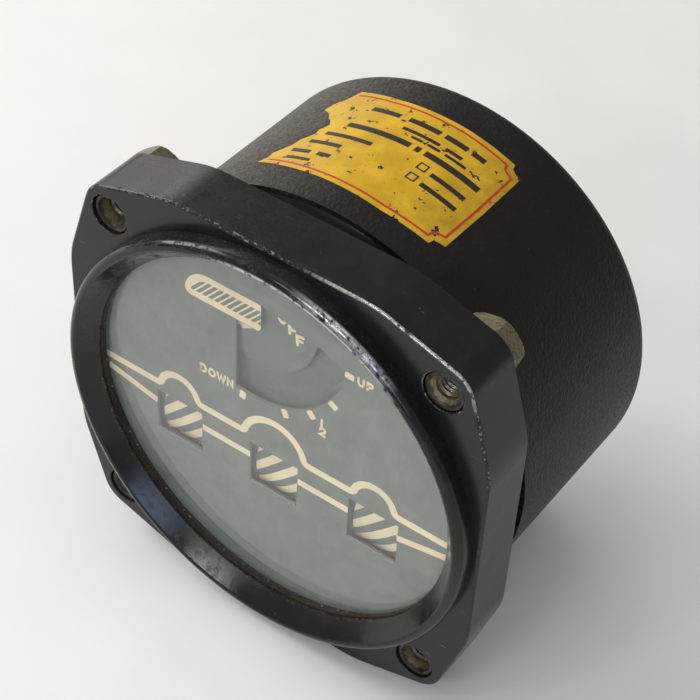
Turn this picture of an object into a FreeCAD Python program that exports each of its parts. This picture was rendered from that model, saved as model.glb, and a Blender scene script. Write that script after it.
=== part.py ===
import FreeCAD, Part
import math
import os
from FreeCAD import Vector

# Wheel and flap position indicator, millimetres.
# The dial faces -Y, +X is the dial's right and +Z is up.
# The origin is the centre of the flange's front face, which seats against the panel.

os.makedirs("parts", exist_ok=True)

# Clearances between neighbouring pieces
stack_gap = 0.02
fit_gap = 0.05
free_gap = 0.3
running_gap = 0.03

# Mounting flange
flange_half = 40.8
flange_flat_half = 19.2
flange_thick = 10.57
hole_margin = 9.37
hole_offset = flange_half - hole_margin
corner_r = 5.25
bend_r = 18.0
front_edge_r = 0.5
hole_edge = 0.12

# Case and the spigot that carries it
can_step = 0.9
can_side = 0.9
can_r = flange_half - can_step
can_inner_r = can_r - can_side
can_front = 14.4
can_rear = 53.25
can_wall = 1.0
can_corner_r = 2.6
neck_step = 0.8
neck_r = can_inner_r - neck_step
neck_end = 13.9
spigot_end = 20.0
spigot_wall = 1.65
bore_r = can_inner_r - fit_gap - spigot_wall

# Bezel boss in front of the flange
wall_step = 1.2
wall_r = flange_half - wall_step
wall_h = 2.2
crest_width = 1.35
crest_r = wall_r - crest_width
crest_h = 3.5
crest_inner = 0.45
lip_width = 2.0
lip_r = bore_r - lip_width
lip_front = 0.35
lip_back = 0.15

# Window stack behind the lip
pack_r = bore_r - free_gap
ring_width = 1.9
ring_inner_r = pack_r - ring_width
ring_thick = 0.78
glass_thick = 2.0
gasket_thick = 0.26
gasket_width = 1.1
gasket_inner_r = pack_r - gasket_width
dial_thick = 0.5
spacer_thick = 2.2
spacer_width = 0.9
spacer_inner_r = pack_r - spacer_width
plate_thick = 1.2
snap_thick = 0.8
snap_depth = 0.9

ring_y = lip_back + stack_gap
glass_y = ring_y + ring_thick + stack_gap
gasket_y = glass_y + glass_thick + stack_gap
dial_y = gasket_y + gasket_thick + stack_gap
spacer_y = dial_y + dial_thick + stack_gap
plate_y = spacer_y + spacer_thick + stack_gap
plate_back = plate_y + plate_thick
snap_y = plate_back + stack_gap

# Flap pointer
pivot_share_x = -0.1206434
pivot_share_z = 0.6461126
pivot_x = bore_r * pivot_share_x
pivot_z = bore_r * pivot_share_z
pivot_reach = math.hypot(pivot_x, pivot_z)
window_r = 17.5
window_end = -4.0
window_end_r = 0.8
window_left = pivot_x - 3.4
window_top = pivot_z + 2.8
window_brow = (pivot_x + 9.4, pivot_z + 1.5)
tongue_right = pivot_x + 1.4
tongue_bottom = pivot_z - 2.75
disc_room = 0.384
disc_r = spacer_inner_r - pivot_reach - disc_room
disc_thick = 0.4
disc_gap = 0.88
disc_y = dial_y + dial_thick + disc_gap
vane_angle = 208.0
vane_tip_r = 16.3
vane_root_half = 3.35
vane_tip_half = 1.5
flap_shaft_r = 0.8

# Flap transmitter receiver
winding_skin = 0.8
core_room = 0.484
core_outer_r = bore_r - pivot_reach - winding_skin - core_room
core_width = 3.5
core_inner_r = core_outer_r - core_width
core_y0 = 12.0
core_y1 = 24.0
rotor_inset = 1.0
cup_lead = 0.4
winding_span = 98.0
cup_room = 0.7
cup_outer_r = core_inner_r - winding_skin - cup_room
cup_wall = 0.8
cup_inner_r = cup_outer_r - cup_wall
rotor_room = 0.5
rotor_r = cup_inner_r - rotor_room

# Wheel drums
drum_pitch = 19.95
drum_r = 10.2
drum_wall = 0.7
drum_half = 5.05
drum_front = dial_y + 1.35
drum_axis_y = drum_front + drum_r
drum_axis_z = -10.25
window_half = 4.88
window_z0 = -13.5
window_z1 = -4.2
drum_shaft_r = 0.75
cheek_in = 6.3
cheek_thick = 0.8
cheek_half = 4.2
bridge_y = 26.0

# Frame behind the front plate
rear_plate_y = 30.0
rear_plate_thick = 1.5
rear_plate_step = 4.5
rear_plate_r = can_inner_r - rear_plate_step
pillar_r = 2.2
pillar_ring_r = bore_r - 5.2
pillar_angles = [22.0, 158.0, 237.0, 303.0]
stud_ring_r = bore_r - 6.3
stud_angles = [36.0, 144.0, 270.0]
board_y = 36.0
board_thick = 1.6
board_half_x = 22.0
board_half_z = 14.0
stud_r = 2.4

# Rear receptacle
recept_flange_half = 16.2
recept_flange_thick = 2.4
recept_r = 12.7
recept_wall = 1.7
recept_inner_r = recept_r - recept_wall
recept_hole_step = 0.4
recept_hole = recept_r - recept_hole_step
recept_end = 68.35
gasket_rear_thick = 0.8
pin_r = 0.8
pin_recess = 4.7


def save(name, shape):
    shape.exportStep("parts/" + name + ".step")


def cyl_y(x, z, y0, y1, r):
    return Part.makeCylinder(r, y1 - y0, Vector(x, y0, z), Vector(0, 1, 0))


def tube_y(x, z, y0, y1, r_out, r_in):
    return cyl_y(x, z, y0, y1, r_out).cut(cyl_y(x, z, y0 - 1, y1 + 1, r_in))


def cyl_x(y, z, x0, x1, r):
    return Part.makeCylinder(r, x1 - x0, Vector(x0, y, z), Vector(1, 0, 0))


def tube_x(y, z, x0, x1, r_out, r_in):
    return cyl_x(y, z, x0, x1, r_out).cut(cyl_x(y, z, x0 - 1, x1 + 1, r_in))


def block(x0, y0, z0, x1, y1, z1):
    return Part.makeBox(x1 - x0, y1 - y0, z1 - z0, Vector(x0, y0, z0))


def polar(cx, cz, r, degrees):
    a = math.radians(degrees)
    return (cx + r * math.cos(a), cz + r * math.sin(a))


def prism_y(points, y0, y1):
    loop = [Vector(x, y0, z) for x, z in points]
    loop.append(loop[0])
    face = Part.Face(Part.makePolygon(loop))
    return face.extrude(Vector(0, y1 - y0, 0))


def turned(profile, x=0.0, z=0.0):
    # profile is a closed list of (radius, y) corners, turned about an axis along Y
    loop = [Vector(x + r, y, z) for r, y in profile]
    loop.append(loop[0])
    face = Part.Face(Part.makePolygon(loop))
    return face.revolve(Vector(x, 0, z), Vector(0, 1, 0), 360)


def arc_xz(cx, cz, r, a0, a1, y):
    def at(a):
        px, pz = polar(cx, cz, r, a)
        return Vector(px, y, pz)
    return Part.Arc(at(a0), at((a0 + a1) / 2.0), at(a1)).toShape()


def line_xz(p, q, y):
    return Part.makeLine(Vector(p[0], y, p[1]), Vector(q[0], y, q[1]))


def prism_edges(edges, depth):
    face = Part.Face(Part.Wire(Part.__sortEdges__(edges)))
    return face.extrude(Vector(0, depth, 0))


def sector_y(cx, cz, r_out, r_in, a0, a1, y0, y1):
    ring = tube_y(cx, cz, y0, y1, r_out, r_in)
    far = r_out * 1.6
    steps = 6
    points = [(cx, cz)]
    for i in range(steps + 1):
        points.append(polar(cx, cz, far, a0 + (a1 - a0) * i / steps))
    return ring.common(prism_y(points, y0 - 1, y1 + 1))


def compound(shapes):
    return Part.makeCompound(shapes)


pillar_spots = [polar(0, 0, pillar_ring_r, a) for a in pillar_angles]
stud_spots = [polar(0, 0, stud_ring_r, a) for a in stud_angles]


# Flange outline: a straight middle on each side, then a taper to a corner that is round about its hole
def flange_edges(y):
    dx = flange_half - hole_offset
    dz = flange_flat_half - hole_offset
    reach = math.degrees(math.acos(corner_r / math.hypot(dx, dz)))
    start = math.degrees(math.atan2(dz, dx)) + reach
    edges = []
    for k in range(4):
        a = math.radians(90 * k)

        def spin(p):
            return (p[0] * math.cos(a) - p[1] * math.sin(a), p[0] * math.sin(a) + p[1] * math.cos(a))
        side_0 = spin((flange_half, -flange_flat_half))
        side_1 = spin((flange_half, flange_flat_half))
        arc_0 = spin(polar(hole_offset, hole_offset, corner_r, start))
        arc_1 = spin(polar(hole_offset, hole_offset, corner_r, 90 - start))
        mid = spin(polar(hole_offset, hole_offset, corner_r, 45))
        next_0 = spin((flange_flat_half, flange_half))
        edges.append(line_xz(side_0, side_1, y))
        edges.append(line_xz(side_1, arc_0, y))
        edges.append(Part.Arc(Vector(arc_0[0], y, arc_0[1]), Vector(mid[0], y, mid[1]),
                              Vector(arc_1[0], y, arc_1[1])).toShape())
        edges.append(line_xz(arc_1, next_0, y))
    return edges


corners = [(hole_offset, hole_offset), (-hole_offset, hole_offset),
           (-hole_offset, -hole_offset), (hole_offset, -hole_offset)]
insert_r = 3.55
insert_hole_r = insert_r + fit_gap

# Bezel and flange, one casting
flange = prism_edges(flange_edges(0.0), flange_thick)
bends = []
for e in flange.Edges:
    spot_0 = e.Vertexes[0].Point
    spot_1 = e.Vertexes[-1].Point
    near = min(abs(spot_0.x), abs(spot_0.z))
    if abs(spot_0.y - spot_1.y) > 0.5 and abs(near - flange_flat_half) < 1e-6:
        bends.append(e)
flange = flange.makeFillet(bend_r, bends)
front_rim = [e for e in flange.Edges if all(abs(v.Point.y) < 1e-6 for v in e.Vertexes)]
flange = flange.makeFillet(front_edge_r, front_rim)
slope_r = crest_r - crest_inner
slope_y = -lip_front - (crest_h - lip_front) * 0.93
round_45 = math.cos(math.pi / 4)
outer_mid = Vector(crest_r + crest_width * round_45, -wall_h - (crest_h - wall_h) * round_45, 0)
inner_mid = Vector(crest_r - crest_inner * 0.51, (-crest_h * 0.74 + slope_y * 0.26), 0)
wall_top = Vector(wall_r, -wall_h, 0)
crest_top = Vector(crest_r, -crest_h, 0)
slope_top = Vector(slope_r, slope_y, 0)
boss_line = [Vector(slope_r, slope_y, 0), Vector(lip_r, -lip_front, 0), Vector(lip_r - 3.0, -lip_front, 0),
             Vector(lip_r - 3.0, 1.0, 0), Vector(wall_r, 1.0, 0), wall_top]
boss_edges = [Part.makeLine(p, q) for p, q in zip(boss_line[:-1], boss_line[1:])]
boss_edges.append(Part.Arc(wall_top, outer_mid, crest_top).toShape())
boss_edges.append(Part.Arc(crest_top, inner_mid, slope_top).toShape())
boss = Part.Face(Part.Wire(boss_edges)).revolve(Vector(0, 0, 0), Vector(0, 1, 0), 360)
spigot = turned([(lip_r - 3.0, flange_thick - 1.0), (neck_r, flange_thick - 1.0), (neck_r, neck_end),
                 (can_inner_r - fit_gap, neck_end + 0.6), (can_inner_r - fit_gap, spigot_end - 0.6),
                 (can_inner_r - 0.6, spigot_end), (lip_r - 3.0, spigot_end)])
bezel = flange.fuse(boss).fuse(spigot)
bezel = bezel.cut(cyl_y(0, 0, -crest_h - 1, spigot_end + 1, lip_r))
bezel = bezel.cut(cyl_y(0, 0, lip_back, spigot_end + 1, bore_r))
bezel = bezel.cut(tube_y(0, 0, snap_y - stack_gap, snap_y + snap_thick + stack_gap,
                         bore_r + snap_depth, bore_r - 2.0))
for cx, cz in corners:
    bezel = bezel.cut(cyl_y(cx, cz, -1, flange_thick + 1, insert_hole_r))
    edge_break = Part.makeCone(insert_hole_r + hole_edge, insert_hole_r, hole_edge,
                               Vector(cx, 0, cz), Vector(0, 1, 0))
    bezel = bezel.cut(edge_break)
save("bezel_flange", bezel.removeSplitter())

# Threaded inserts with a six-sided head behind the flange
insert_faces = [0.35, 1.4, 0.8, 1.2]
insert_bore_r = 1.65
insert_sink_r = 2.8
insert_sink_depth = 1.3
head_flats = 9.5
head_thick = 3.5
inserts = []
for k, (cx, cz) in enumerate(corners):
    head_corner_r = head_flats / 2.0 / math.cos(math.pi / 6)
    hexagon = [polar(cx, cz, head_corner_r, 60 * i + 12 + 23 * k) for i in range(6)]
    head = prism_y(hexagon, flange_thick + stack_gap, flange_thick + stack_gap + head_thick)
    dome = turned([(0, 0), (head_flats * 0.62, 0), (head_flats * 0.62, flange_thick + head_thick - 1.2),
                   (head_flats * 0.47, flange_thick + head_thick + stack_gap),
                   (0, flange_thick + head_thick + stack_gap)], cx, cz)
    face_y = insert_faces[k]
    body = cyl_y(cx, cz, face_y, flange_thick + 0.5, insert_r).fuse(head.common(dome))
    body = body.cut(cyl_y(cx, cz, -1, flange_thick + 10, insert_bore_r))
    sink = Part.makeCone(insert_sink_r, insert_bore_r, insert_sink_depth,
                         Vector(cx, face_y, cz), Vector(0, 1, 0))
    body = body.cut(sink)
    inserts.append(body)
save("mount_inserts", compound(inserts))

# Window stack
save("glass_ring", tube_y(0, 0, ring_y, ring_y + ring_thick, pack_r, ring_inner_r))
save("cover_glass", cyl_y(0, 0, glass_y, glass_y + glass_thick, pack_r))
save("glass_gasket", tube_y(0, 0, gasket_y, gasket_y + gasket_thick, pack_r, gasket_inner_r))

# Dial with the flap window and three wheel windows
dial = cyl_y(0, 0, dial_y, dial_y + dial_thick, pack_r)
a_left = -math.degrees(math.acos((window_left - pivot_x) / window_r))
left_low = polar(pivot_x, pivot_z, window_r, a_left)
right_high = polar(pivot_x, pivot_z, window_r, window_end)
cut_y = dial_y - 1.0
tongue_r = 1.1
edges = [arc_xz(pivot_x, pivot_z, window_r, a_left, window_end, cut_y),
         Part.Arc(Vector(right_high[0], cut_y, right_high[1]),
                  Vector(window_brow[0], cut_y, window_brow[1]),
                  Vector(tongue_right, cut_y, window_top)).toShape(),
         line_xz((tongue_right, window_top), (tongue_right, tongue_bottom + tongue_r), cut_y),
         arc_xz(tongue_right - tongue_r, tongue_bottom + tongue_r, tongue_r, 0, -90, cut_y),
         line_xz((tongue_right - tongue_r, tongue_bottom), (window_left, tongue_bottom), cut_y),
         line_xz((window_left, tongue_bottom), left_low, cut_y)]
window = prism_edges(edges, dial_thick + 2.0)
window_corner = []
for e in window.Edges:
    spot = e.Vertexes[0].Point
    on_corner = math.hypot(spot.x - right_high[0], spot.z - right_high[1]) < 1e-6
    if on_corner and abs(spot.y - e.Vertexes[-1].Point.y) > 0.5:
        window_corner.append(e)
dial = dial.cut(window.makeFillet(window_end_r, window_corner))
drum_x = [-drum_pitch, 0.0, drum_pitch]
for x in drum_x:
    dial = dial.cut(block(x - window_half, cut_y, window_z0, x + window_half, cut_y + 3, window_z1))
save("dial_plate", dial)

save("dial_spacer", tube_y(0, 0, spacer_y, spacer_y + spacer_thick, pack_r, spacer_inner_r))

# Front plate, open where the drums pass through
plate_fit_r = bore_r - fit_gap
front_plate = cyl_y(0, 0, plate_y, plate_back, plate_fit_r)
for x in drum_x:
    front_plate = front_plate.cut(block(x - drum_half - 0.55, plate_y - 1, drum_axis_z - 7.5,
                                        x + drum_half + 0.55, plate_back + 1, drum_axis_z + 7.5))
bush_r = 2.2
front_plate = front_plate.cut(cyl_y(pivot_x, pivot_z, plate_y - 1, plate_back + 1, bush_r + fit_gap))
foot_out = 9.7
foot_hole = 8.45
screw_r = 0.8
foot_screws = []
for x in drum_x:
    for s in (-1, 1):
        foot_screws.append((x + s * foot_hole, drum_axis_z))
for sx, sz in foot_screws:
    front_plate = front_plate.cut(cyl_y(sx, sz, plate_y - 1, plate_back + 1, screw_r + fit_gap))
for px, pz in pillar_spots:
    front_plate = front_plate.cut(cyl_y(px, pz, plate_y - 1, plate_back + 1, 1.2 + fit_gap))
save("front_plate", front_plate)

# Snap ring behind the front plate, open at the bottom
snap = tube_y(0, 0, snap_y, snap_y + snap_thick, bore_r + snap_depth - 0.3, bore_r - 1.4)
snap = snap.cut(block(-3.0, snap_y - 1, -bore_r - 3, 3.0, snap_y + 2, -bore_r + 3))
save("plate_snap_ring", snap)

# Flap pointer: disc with the tapered vane
disc_back = disc_y + disc_thick
hub = cyl_y(pivot_x, pivot_z, disc_y, disc_back, disc_r)
va = math.radians(vane_angle)


def vane_point(along, across):
    return (pivot_x + along * math.cos(va) - across * math.sin(va),
            pivot_z + along * math.sin(va) + across * math.cos(va))


vane = prism_y([vane_point(0, -vane_root_half), vane_point(vane_tip_r - vane_tip_half, -vane_tip_half),
                vane_point(vane_tip_r - 0.45, -vane_tip_half * 0.72), vane_point(vane_tip_r, 0),
                vane_point(vane_tip_r - 0.45, vane_tip_half * 0.72),
                vane_point(vane_tip_r - vane_tip_half, vane_tip_half), vane_point(0, vane_root_half)],
               disc_y, disc_back)
pointer = hub.fuse(vane).cut(cyl_y(pivot_x, pivot_z, disc_y - 1, disc_back + 1, flap_shaft_r + 0.02))
save("flap_pointer", pointer.removeSplitter())

collet_end = plate_y - 0.15
collet = turned([(flap_shaft_r + 0.02, disc_back + stack_gap), (1.9, disc_back + stack_gap),
                 (1.9, collet_end), (flap_shaft_r + 0.02, collet_end)], pivot_x, pivot_z)
save("flap_collet", collet)

shaft_end = rear_plate_y + 1.4
flap_shaft = turned([(0, disc_y + 0.05), (flap_shaft_r, disc_y + 0.05), (flap_shaft_r, shaft_end - 0.7),
                     (0, shaft_end)], pivot_x, pivot_z)
save("flap_shaft", flap_shaft)

bush_bore_r = flap_shaft_r + running_gap
front_bush = turned([(bush_bore_r, plate_y + 0.02), (bush_r, plate_y + 0.02),
                     (bush_r, plate_back + stack_gap), (3.2, plate_back + stack_gap),
                     (3.2, plate_back + 1.4), (bush_bore_r, plate_back + 1.4)], pivot_x, pivot_z)
rear_bush = turned([(0, rear_plate_y + 2.9), (0, rear_plate_y + 1.6), (bush_bore_r, rear_plate_y + 0.8),
                    (bush_bore_r, rear_plate_y - 1.0), (bush_r, rear_plate_y - 1.0),
                    (bush_r, rear_plate_y + 2.9)], pivot_x, pivot_z)
save("flap_bearings", compound([front_bush, rear_bush]))

# Receiver: magnet rotor, damping cup, ring core with three winding sectors
magnet = tube_y(pivot_x, pivot_z, core_y0 + rotor_inset, core_y1 - rotor_inset,
                rotor_r, flap_shaft_r + 0.02)
save("flap_rotor_magnet", magnet)

bracket_y = core_y1 + winding_skin + 0.4
cup_front = core_y0 - cup_lead
cup = turned([(flap_shaft_r + 0.7, bracket_y - 1.0), (cup_inner_r, bracket_y - 1.0),
              (cup_inner_r, cup_front), (cup_outer_r, cup_front), (cup_outer_r, bracket_y - stack_gap),
              (flap_shaft_r + 0.7, bracket_y - stack_gap)], pivot_x, pivot_z)
save("flap_damping_cup", cup)

core = tube_y(pivot_x, pivot_z, core_y0, core_y1, core_outer_r, core_inner_r)
clamp_angles = [30.0, 150.0, 270.0]
clamp_r = (core_outer_r + core_inner_r) / 2.0
clamp_spots = [polar(pivot_x, pivot_z, clamp_r, a) for a in clamp_angles]
for sx, sz in clamp_spots:
    core = core.cut(cyl_y(sx, sz, core_y0 - 1, core_y1 + 1, 0.95))
save("flap_stator_core", core)

windings = []
grown = tube_y(pivot_x, pivot_z, core_y0 - 0.02, core_y1 + 0.02, core_outer_r + 0.02, core_inner_r - 0.02)
for a in clamp_angles:
    shell = sector_y(pivot_x, pivot_z, core_outer_r + winding_skin, core_inner_r - winding_skin,
                     a + 60 - winding_span / 2, a + 60 + winding_span / 2,
                     core_y0 - winding_skin, core_y1 + winding_skin)
    windings.append(shell.cut(grown))
save("flap_stator_winding", compound(windings))

front_ring_y = core_y0 - winding_skin - 0.4
front_ring = tube_y(pivot_x, pivot_z, front_ring_y - 0.8, front_ring_y,
                    core_outer_r + 0.7, core_inner_r - 0.6)
bracket = tube_y(pivot_x, pivot_z, bracket_y, bracket_y + 1.2, core_outer_r + 0.7, flap_shaft_r + 0.7)
bracket = bracket.fuse(tube_y(pivot_x, pivot_z, bracket_y + 1.0, rear_plate_y - stack_gap, 5.2, 3.6))
lugs = []
for sx, sz in clamp_spots:
    front_ring = front_ring.cut(cyl_y(sx, sz, 0, bracket_y + 5, 0.95))
    bracket = bracket.cut(cyl_y(sx, sz, 0, bracket_y + 5, 0.8 + 0.02))
    lugs.append(tube_y(sx, sz, front_ring_y + stack_gap, core_y0 - stack_gap, 1.5, 0.95))
    lugs.append(tube_y(sx, sz, core_y1 + stack_gap, bracket_y - stack_gap, 1.5, 0.95))
save("stator_clamp_ring", front_ring)
save("stator_bracket", bracket)
save("stator_washers", compound(lugs))
bolts = []
for sx, sz in clamp_spots:
    seat_y = front_ring_y - 0.8 - stack_gap
    bolts.append(turned([(0, seat_y - 1.2), (1.4, seat_y - 1.2), (1.4, seat_y),
                         (0.8, seat_y), (0.8, bracket_y + 1.2), (0, bracket_y + 1.2)], sx, sz))
save("stator_bolts", compound(bolts))

# Small magnet that parks the flap rotor
park_y = bracket_y + 1.2 + stack_gap
park = block(pivot_x - 9.2, park_y, pivot_z - 1.3, pivot_x - 5.6, park_y + 2.2, pivot_z + 1.3)
save("flap_park_magnet", park)

# Three wheel drum units
unit_names = ["left", "nose", "right"]
for name, x in zip(unit_names, drum_x):
    ay = drum_axis_y
    az = drum_axis_z
    drum = cyl_x(ay, az, x - drum_half, x + drum_half, drum_r)
    rims = [e for e in drum.Edges if isinstance(e.Curve, Part.Circle)]
    drum = drum.makeFillet(0.45, rims)
    drum = drum.cut(cyl_x(ay, az, x - drum_half + 0.9, x + drum_half + 1, drum_r - drum_wall))
    drum = drum.fuse(cyl_x(ay, az, x - drum_half + 0.5, x - 2.9, 2.0))
    drum = drum.cut(cyl_x(ay, az, x - drum_half - 1, x + drum_half + 1, drum_shaft_r + 0.02))
    save("drum_" + name, drum.removeSplitter())

    shaft = cyl_x(ay, az, x - cheek_in - cheek_thick - 0.5, x + cheek_in + cheek_thick + 0.5, drum_shaft_r)
    save("drum_shaft_" + name, shaft)

    save("drum_magnet_" + name, tube_x(ay, az, x - 2.88, x + 1.1, 4.0, drum_shaft_r + 0.02))

    # Bracket: two cheeks with feet, joined behind the drum
    outer = cheek_in + cheek_thick
    frame = block(x - outer, bridge_y, az - cheek_half, x + outer, bridge_y + cheek_thick, az + cheek_half)
    for s in (-1, 1):
        inner_x = x + s * cheek_in
        outer_x = x + s * outer
        foot_x = x + s * foot_out
        frame = frame.fuse(block(min(inner_x, outer_x), plate_back + stack_gap, az - cheek_half,
                                 max(inner_x, outer_x), bridge_y + cheek_thick, az + cheek_half))
        frame = frame.fuse(block(min(inner_x, foot_x), plate_back + stack_gap, az - 2.6,
                                 max(inner_x, foot_x), plate_back + stack_gap + cheek_thick, az + 2.6))
        frame = frame.cut(cyl_y(x + s * foot_hole, az, plate_y, bridge_y - 1, screw_r + fit_gap))
    frame = frame.cut(cyl_x(ay, az, x - 12, x + 12, 1.6 + fit_gap))
    save("drum_bracket_" + name, frame.removeSplitter())

    # Field core: a ring with three inward poles on a cup that is fixed to the right cheek
    ring = tube_x(ay, az, x - 2.2, x + 2.2, 8.7, 7.6)
    for k in range(3):
        a = 90 + 120 * k
        pole = block(x - 1.4, ay - 1.1, az + 4.5, x + 1.0, ay + 1.1, az + 8.2)
        pole.rotate(Vector(x, ay, az), Vector(1, 0, 0), a)
        ring = ring.fuse(pole)
    ring = ring.fuse(tube_x(ay, az, x + 2.2, x + 3.2, 8.7, 1.6))
    ring = ring.fuse(tube_x(ay, az, x + 3.2, x + cheek_in - stack_gap, 3.4, 1.7))
    save("drum_core_" + name, ring.removeSplitter())

    coils = []
    for k in range(3):
        coil = block(x - 1.9, ay - 1.7, az + 5.2, x + 1.6, ay + 1.7, az + 7.1)
        coil = coil.cut(block(x - 1.42, ay - 1.12, az + 5, x + 1.02, ay + 1.12, az + 8))
        coil.rotate(Vector(x, ay, az), Vector(1, 0, 0), 90 + 120 * k)
        coils.append(coil)
    save("drum_coils_" + name, compound(coils))

bushes = []
for x in drum_x:
    for s in (-1, 1):
        x0 = x + s * (cheek_in - (0.45 if s < 0 else -0.05))
        x1 = x + s * (cheek_in + cheek_thick + 0.3)
        bushes.append(tube_x(drum_axis_y, drum_axis_z, min(x0, x1), max(x0, x1),
                             1.6, drum_shaft_r + running_gap))
save("drum_bearings", compound(bushes))


def screw_y(x, z, head_y, head_h, head_radius, shank_r, tip_y, direction):
    # direction +1: the shank runs towards +Y from the head
    head_0 = head_y - direction * head_h
    shape = turned([(0, head_0), (head_radius * 0.8, head_0),
                    (head_radius, head_0 + direction * head_h * 0.45),
                    (head_radius, head_y), (shank_r, head_y), (shank_r, tip_y), (0, tip_y)], x, z)
    slot_0 = head_0 - 0.5
    slot_1 = head_0 + direction * head_h * 0.4
    slot = block(x - head_radius - 1, min(slot_0, slot_1), z - 0.25,
                 x + head_radius + 1, max(slot_0, slot_1), z + 0.25)
    if direction < 0:
        slot = block(x - head_radius - 1, slot_1, z - 0.25, x + head_radius + 1, head_0 + 0.5, z + 0.25)
    return shape.cut(slot)


foot_face = plate_back + stack_gap + cheek_thick + stack_gap
save("bracket_screws", compound([screw_y(sx, sz, foot_face, 0.9, 1.2, screw_r, plate_y + 0.05, -1)
                                 for sx, sz in foot_screws]))

# Frame: rear plate on four pillars
rear_plate = cyl_y(0, 0, rear_plate_y, rear_plate_y + rear_plate_thick, rear_plate_r)
rear_plate = rear_plate.cut(cyl_y(pivot_x, pivot_z, rear_plate_y - 1, rear_plate_y + 4, bush_r + fit_gap))
for sx in (-12.5, 12.5):
    rear_plate = rear_plate.cut(cyl_y(sx, -12.0, rear_plate_y - 1, rear_plate_y + 4, 6.5))
for px, pz in pillar_spots + stud_spots:
    rear_plate = rear_plate.cut(cyl_y(px, pz, rear_plate_y - 1, rear_plate_y + 4, 1.2 + fit_gap))
board_spots = [(-18.5, -10.5), (18.5, -10.5), (-18.5, 10.5), (18.5, 10.5)]
for px, pz in board_spots:
    rear_plate = rear_plate.cut(cyl_y(px, pz, rear_plate_y - 1, rear_plate_y + 4, 1.0 + fit_gap))
save("rear_plate", rear_plate)

pillars = []
for px, pz in pillar_spots:
    post = cyl_y(px, pz, plate_back + stack_gap, rear_plate_y - stack_gap, pillar_r)
    post = post.fuse(cyl_y(px, pz, plate_y + 0.05, plate_back + 1, 1.2))
    post = post.fuse(cyl_y(px, pz, rear_plate_y - 1, rear_plate_y + rear_plate_thick + 1.8, 1.2))
    pillars.append(post.removeSplitter())
save("frame_pillars", compound(pillars))

nuts = []
nut_y = rear_plate_y + rear_plate_thick + stack_gap
for px, pz in pillar_spots:
    nut = prism_y([polar(px, pz, 2.6, 60 * i) for i in range(6)], nut_y, nut_y + 1.6)
    nuts.append(nut.cut(cyl_y(px, pz, nut_y - 1, nut_y + 4, 1.2 + 0.03)))
save("pillar_nuts", compound(nuts))

# Case studs stand on the rear plate and take the case screws
can_inner_back = can_rear - can_wall
studs = []
for px, pz in stud_spots:
    stud = cyl_y(px, pz, nut_y, can_inner_back - 0.1, stud_r)
    stud = stud.fuse(cyl_y(px, pz, rear_plate_y + 0.1, nut_y + 1, 1.2))
    stud = stud.cut(cyl_y(px, pz, can_inner_back - 6.0, can_inner_back + 1, 1.2 + fit_gap))
    studs.append(stud.removeSplitter())
save("case_studs", compound(studs))

# Terminal board on four standoffs
standoffs = []
for px, pz in board_spots:
    leg = cyl_y(px, pz, nut_y, board_y - stack_gap, 1.9)
    leg = leg.fuse(cyl_y(px, pz, rear_plate_y + 0.1, nut_y + 1, 1.0))
    leg = leg.fuse(cyl_y(px, pz, board_y - 1, board_y + board_thick + 1.2, 1.0))
    standoffs.append(leg.removeSplitter())
save("board_standoffs", compound(standoffs))

board = block(-board_half_x, board_y, -board_half_z, board_half_x, board_y + board_thick, board_half_z)
corner_edges = [e for e in board.Edges if abs(e.Vertexes[0].Point.y - e.Vertexes[1].Point.y) > 0.5]
board = board.makeFillet(2.0, corner_edges)
for px, pz in board_spots:
    board = board.cut(cyl_y(px, pz, board_y - 1, board_y + 4, 1.0 + fit_gap))
post_spots = [(-15.0 + 5.0 * i, s * 4.5) for i in range(7) for s in (-1, 1)]
for px, pz in post_spots:
    board = board.cut(cyl_y(px, pz, board_y - 1, board_y + 4, 0.8 + 0.02))
save("terminal_board", board)

posts = []
for px, pz in post_spots:
    posts.append(turned([(0, board_y - 1.6), (0.8, board_y - 1.6), (0.8, board_y + board_thick + stack_gap),
                         (1.4, board_y + board_thick + stack_gap), (1.4, board_y + board_thick + 0.8),
                         (0.6, board_y + board_thick + 1.4), (0.6, board_y + board_thick + 3.4),
                         (0, board_y + board_thick + 3.4)], px, pz))
save("terminal_posts", compound(posts))

# Case
can = cyl_y(0, 0, can_front, can_rear, can_r)
rear_edge = [e for e in can.Edges
             if isinstance(e.Curve, Part.Circle) and abs(e.Curve.Center.y - can_rear) < 1e-6]
can = can.makeFillet(can_corner_r, rear_edge)
cavity = cyl_y(0, 0, can_front - 1, can_inner_back, can_inner_r)
cavity_edge = [e for e in cavity.Edges
               if isinstance(e.Curve, Part.Circle) and abs(e.Curve.Center.y - can_inner_back) < 1e-6]
cavity = cavity.makeFillet(can_corner_r - 0.9, cavity_edge)
can = can.cut(cavity)
can = can.cut(cyl_y(0, 0, can_inner_back - 1, can_rear + 1, recept_hole))
recept_spots = [(sx * 12.3, sz * 12.3) for sx in (-1, 1) for sz in (-1, 1)]
for px, pz in stud_spots:
    can = can.cut(cyl_y(px, pz, can_inner_back - 1, can_rear + 1, 1.2 + fit_gap))
for px, pz in recept_spots:
    can = can.cut(cyl_y(px, pz, can_inner_back - 1, can_rear + 1, 1.1 + fit_gap))
save("case_can", can)

save("case_screws", compound([screw_y(px, pz, can_rear + stack_gap, 1.5, 2.5, 1.2, can_inner_back - 5.0, -1)
                              for px, pz in stud_spots]))

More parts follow.
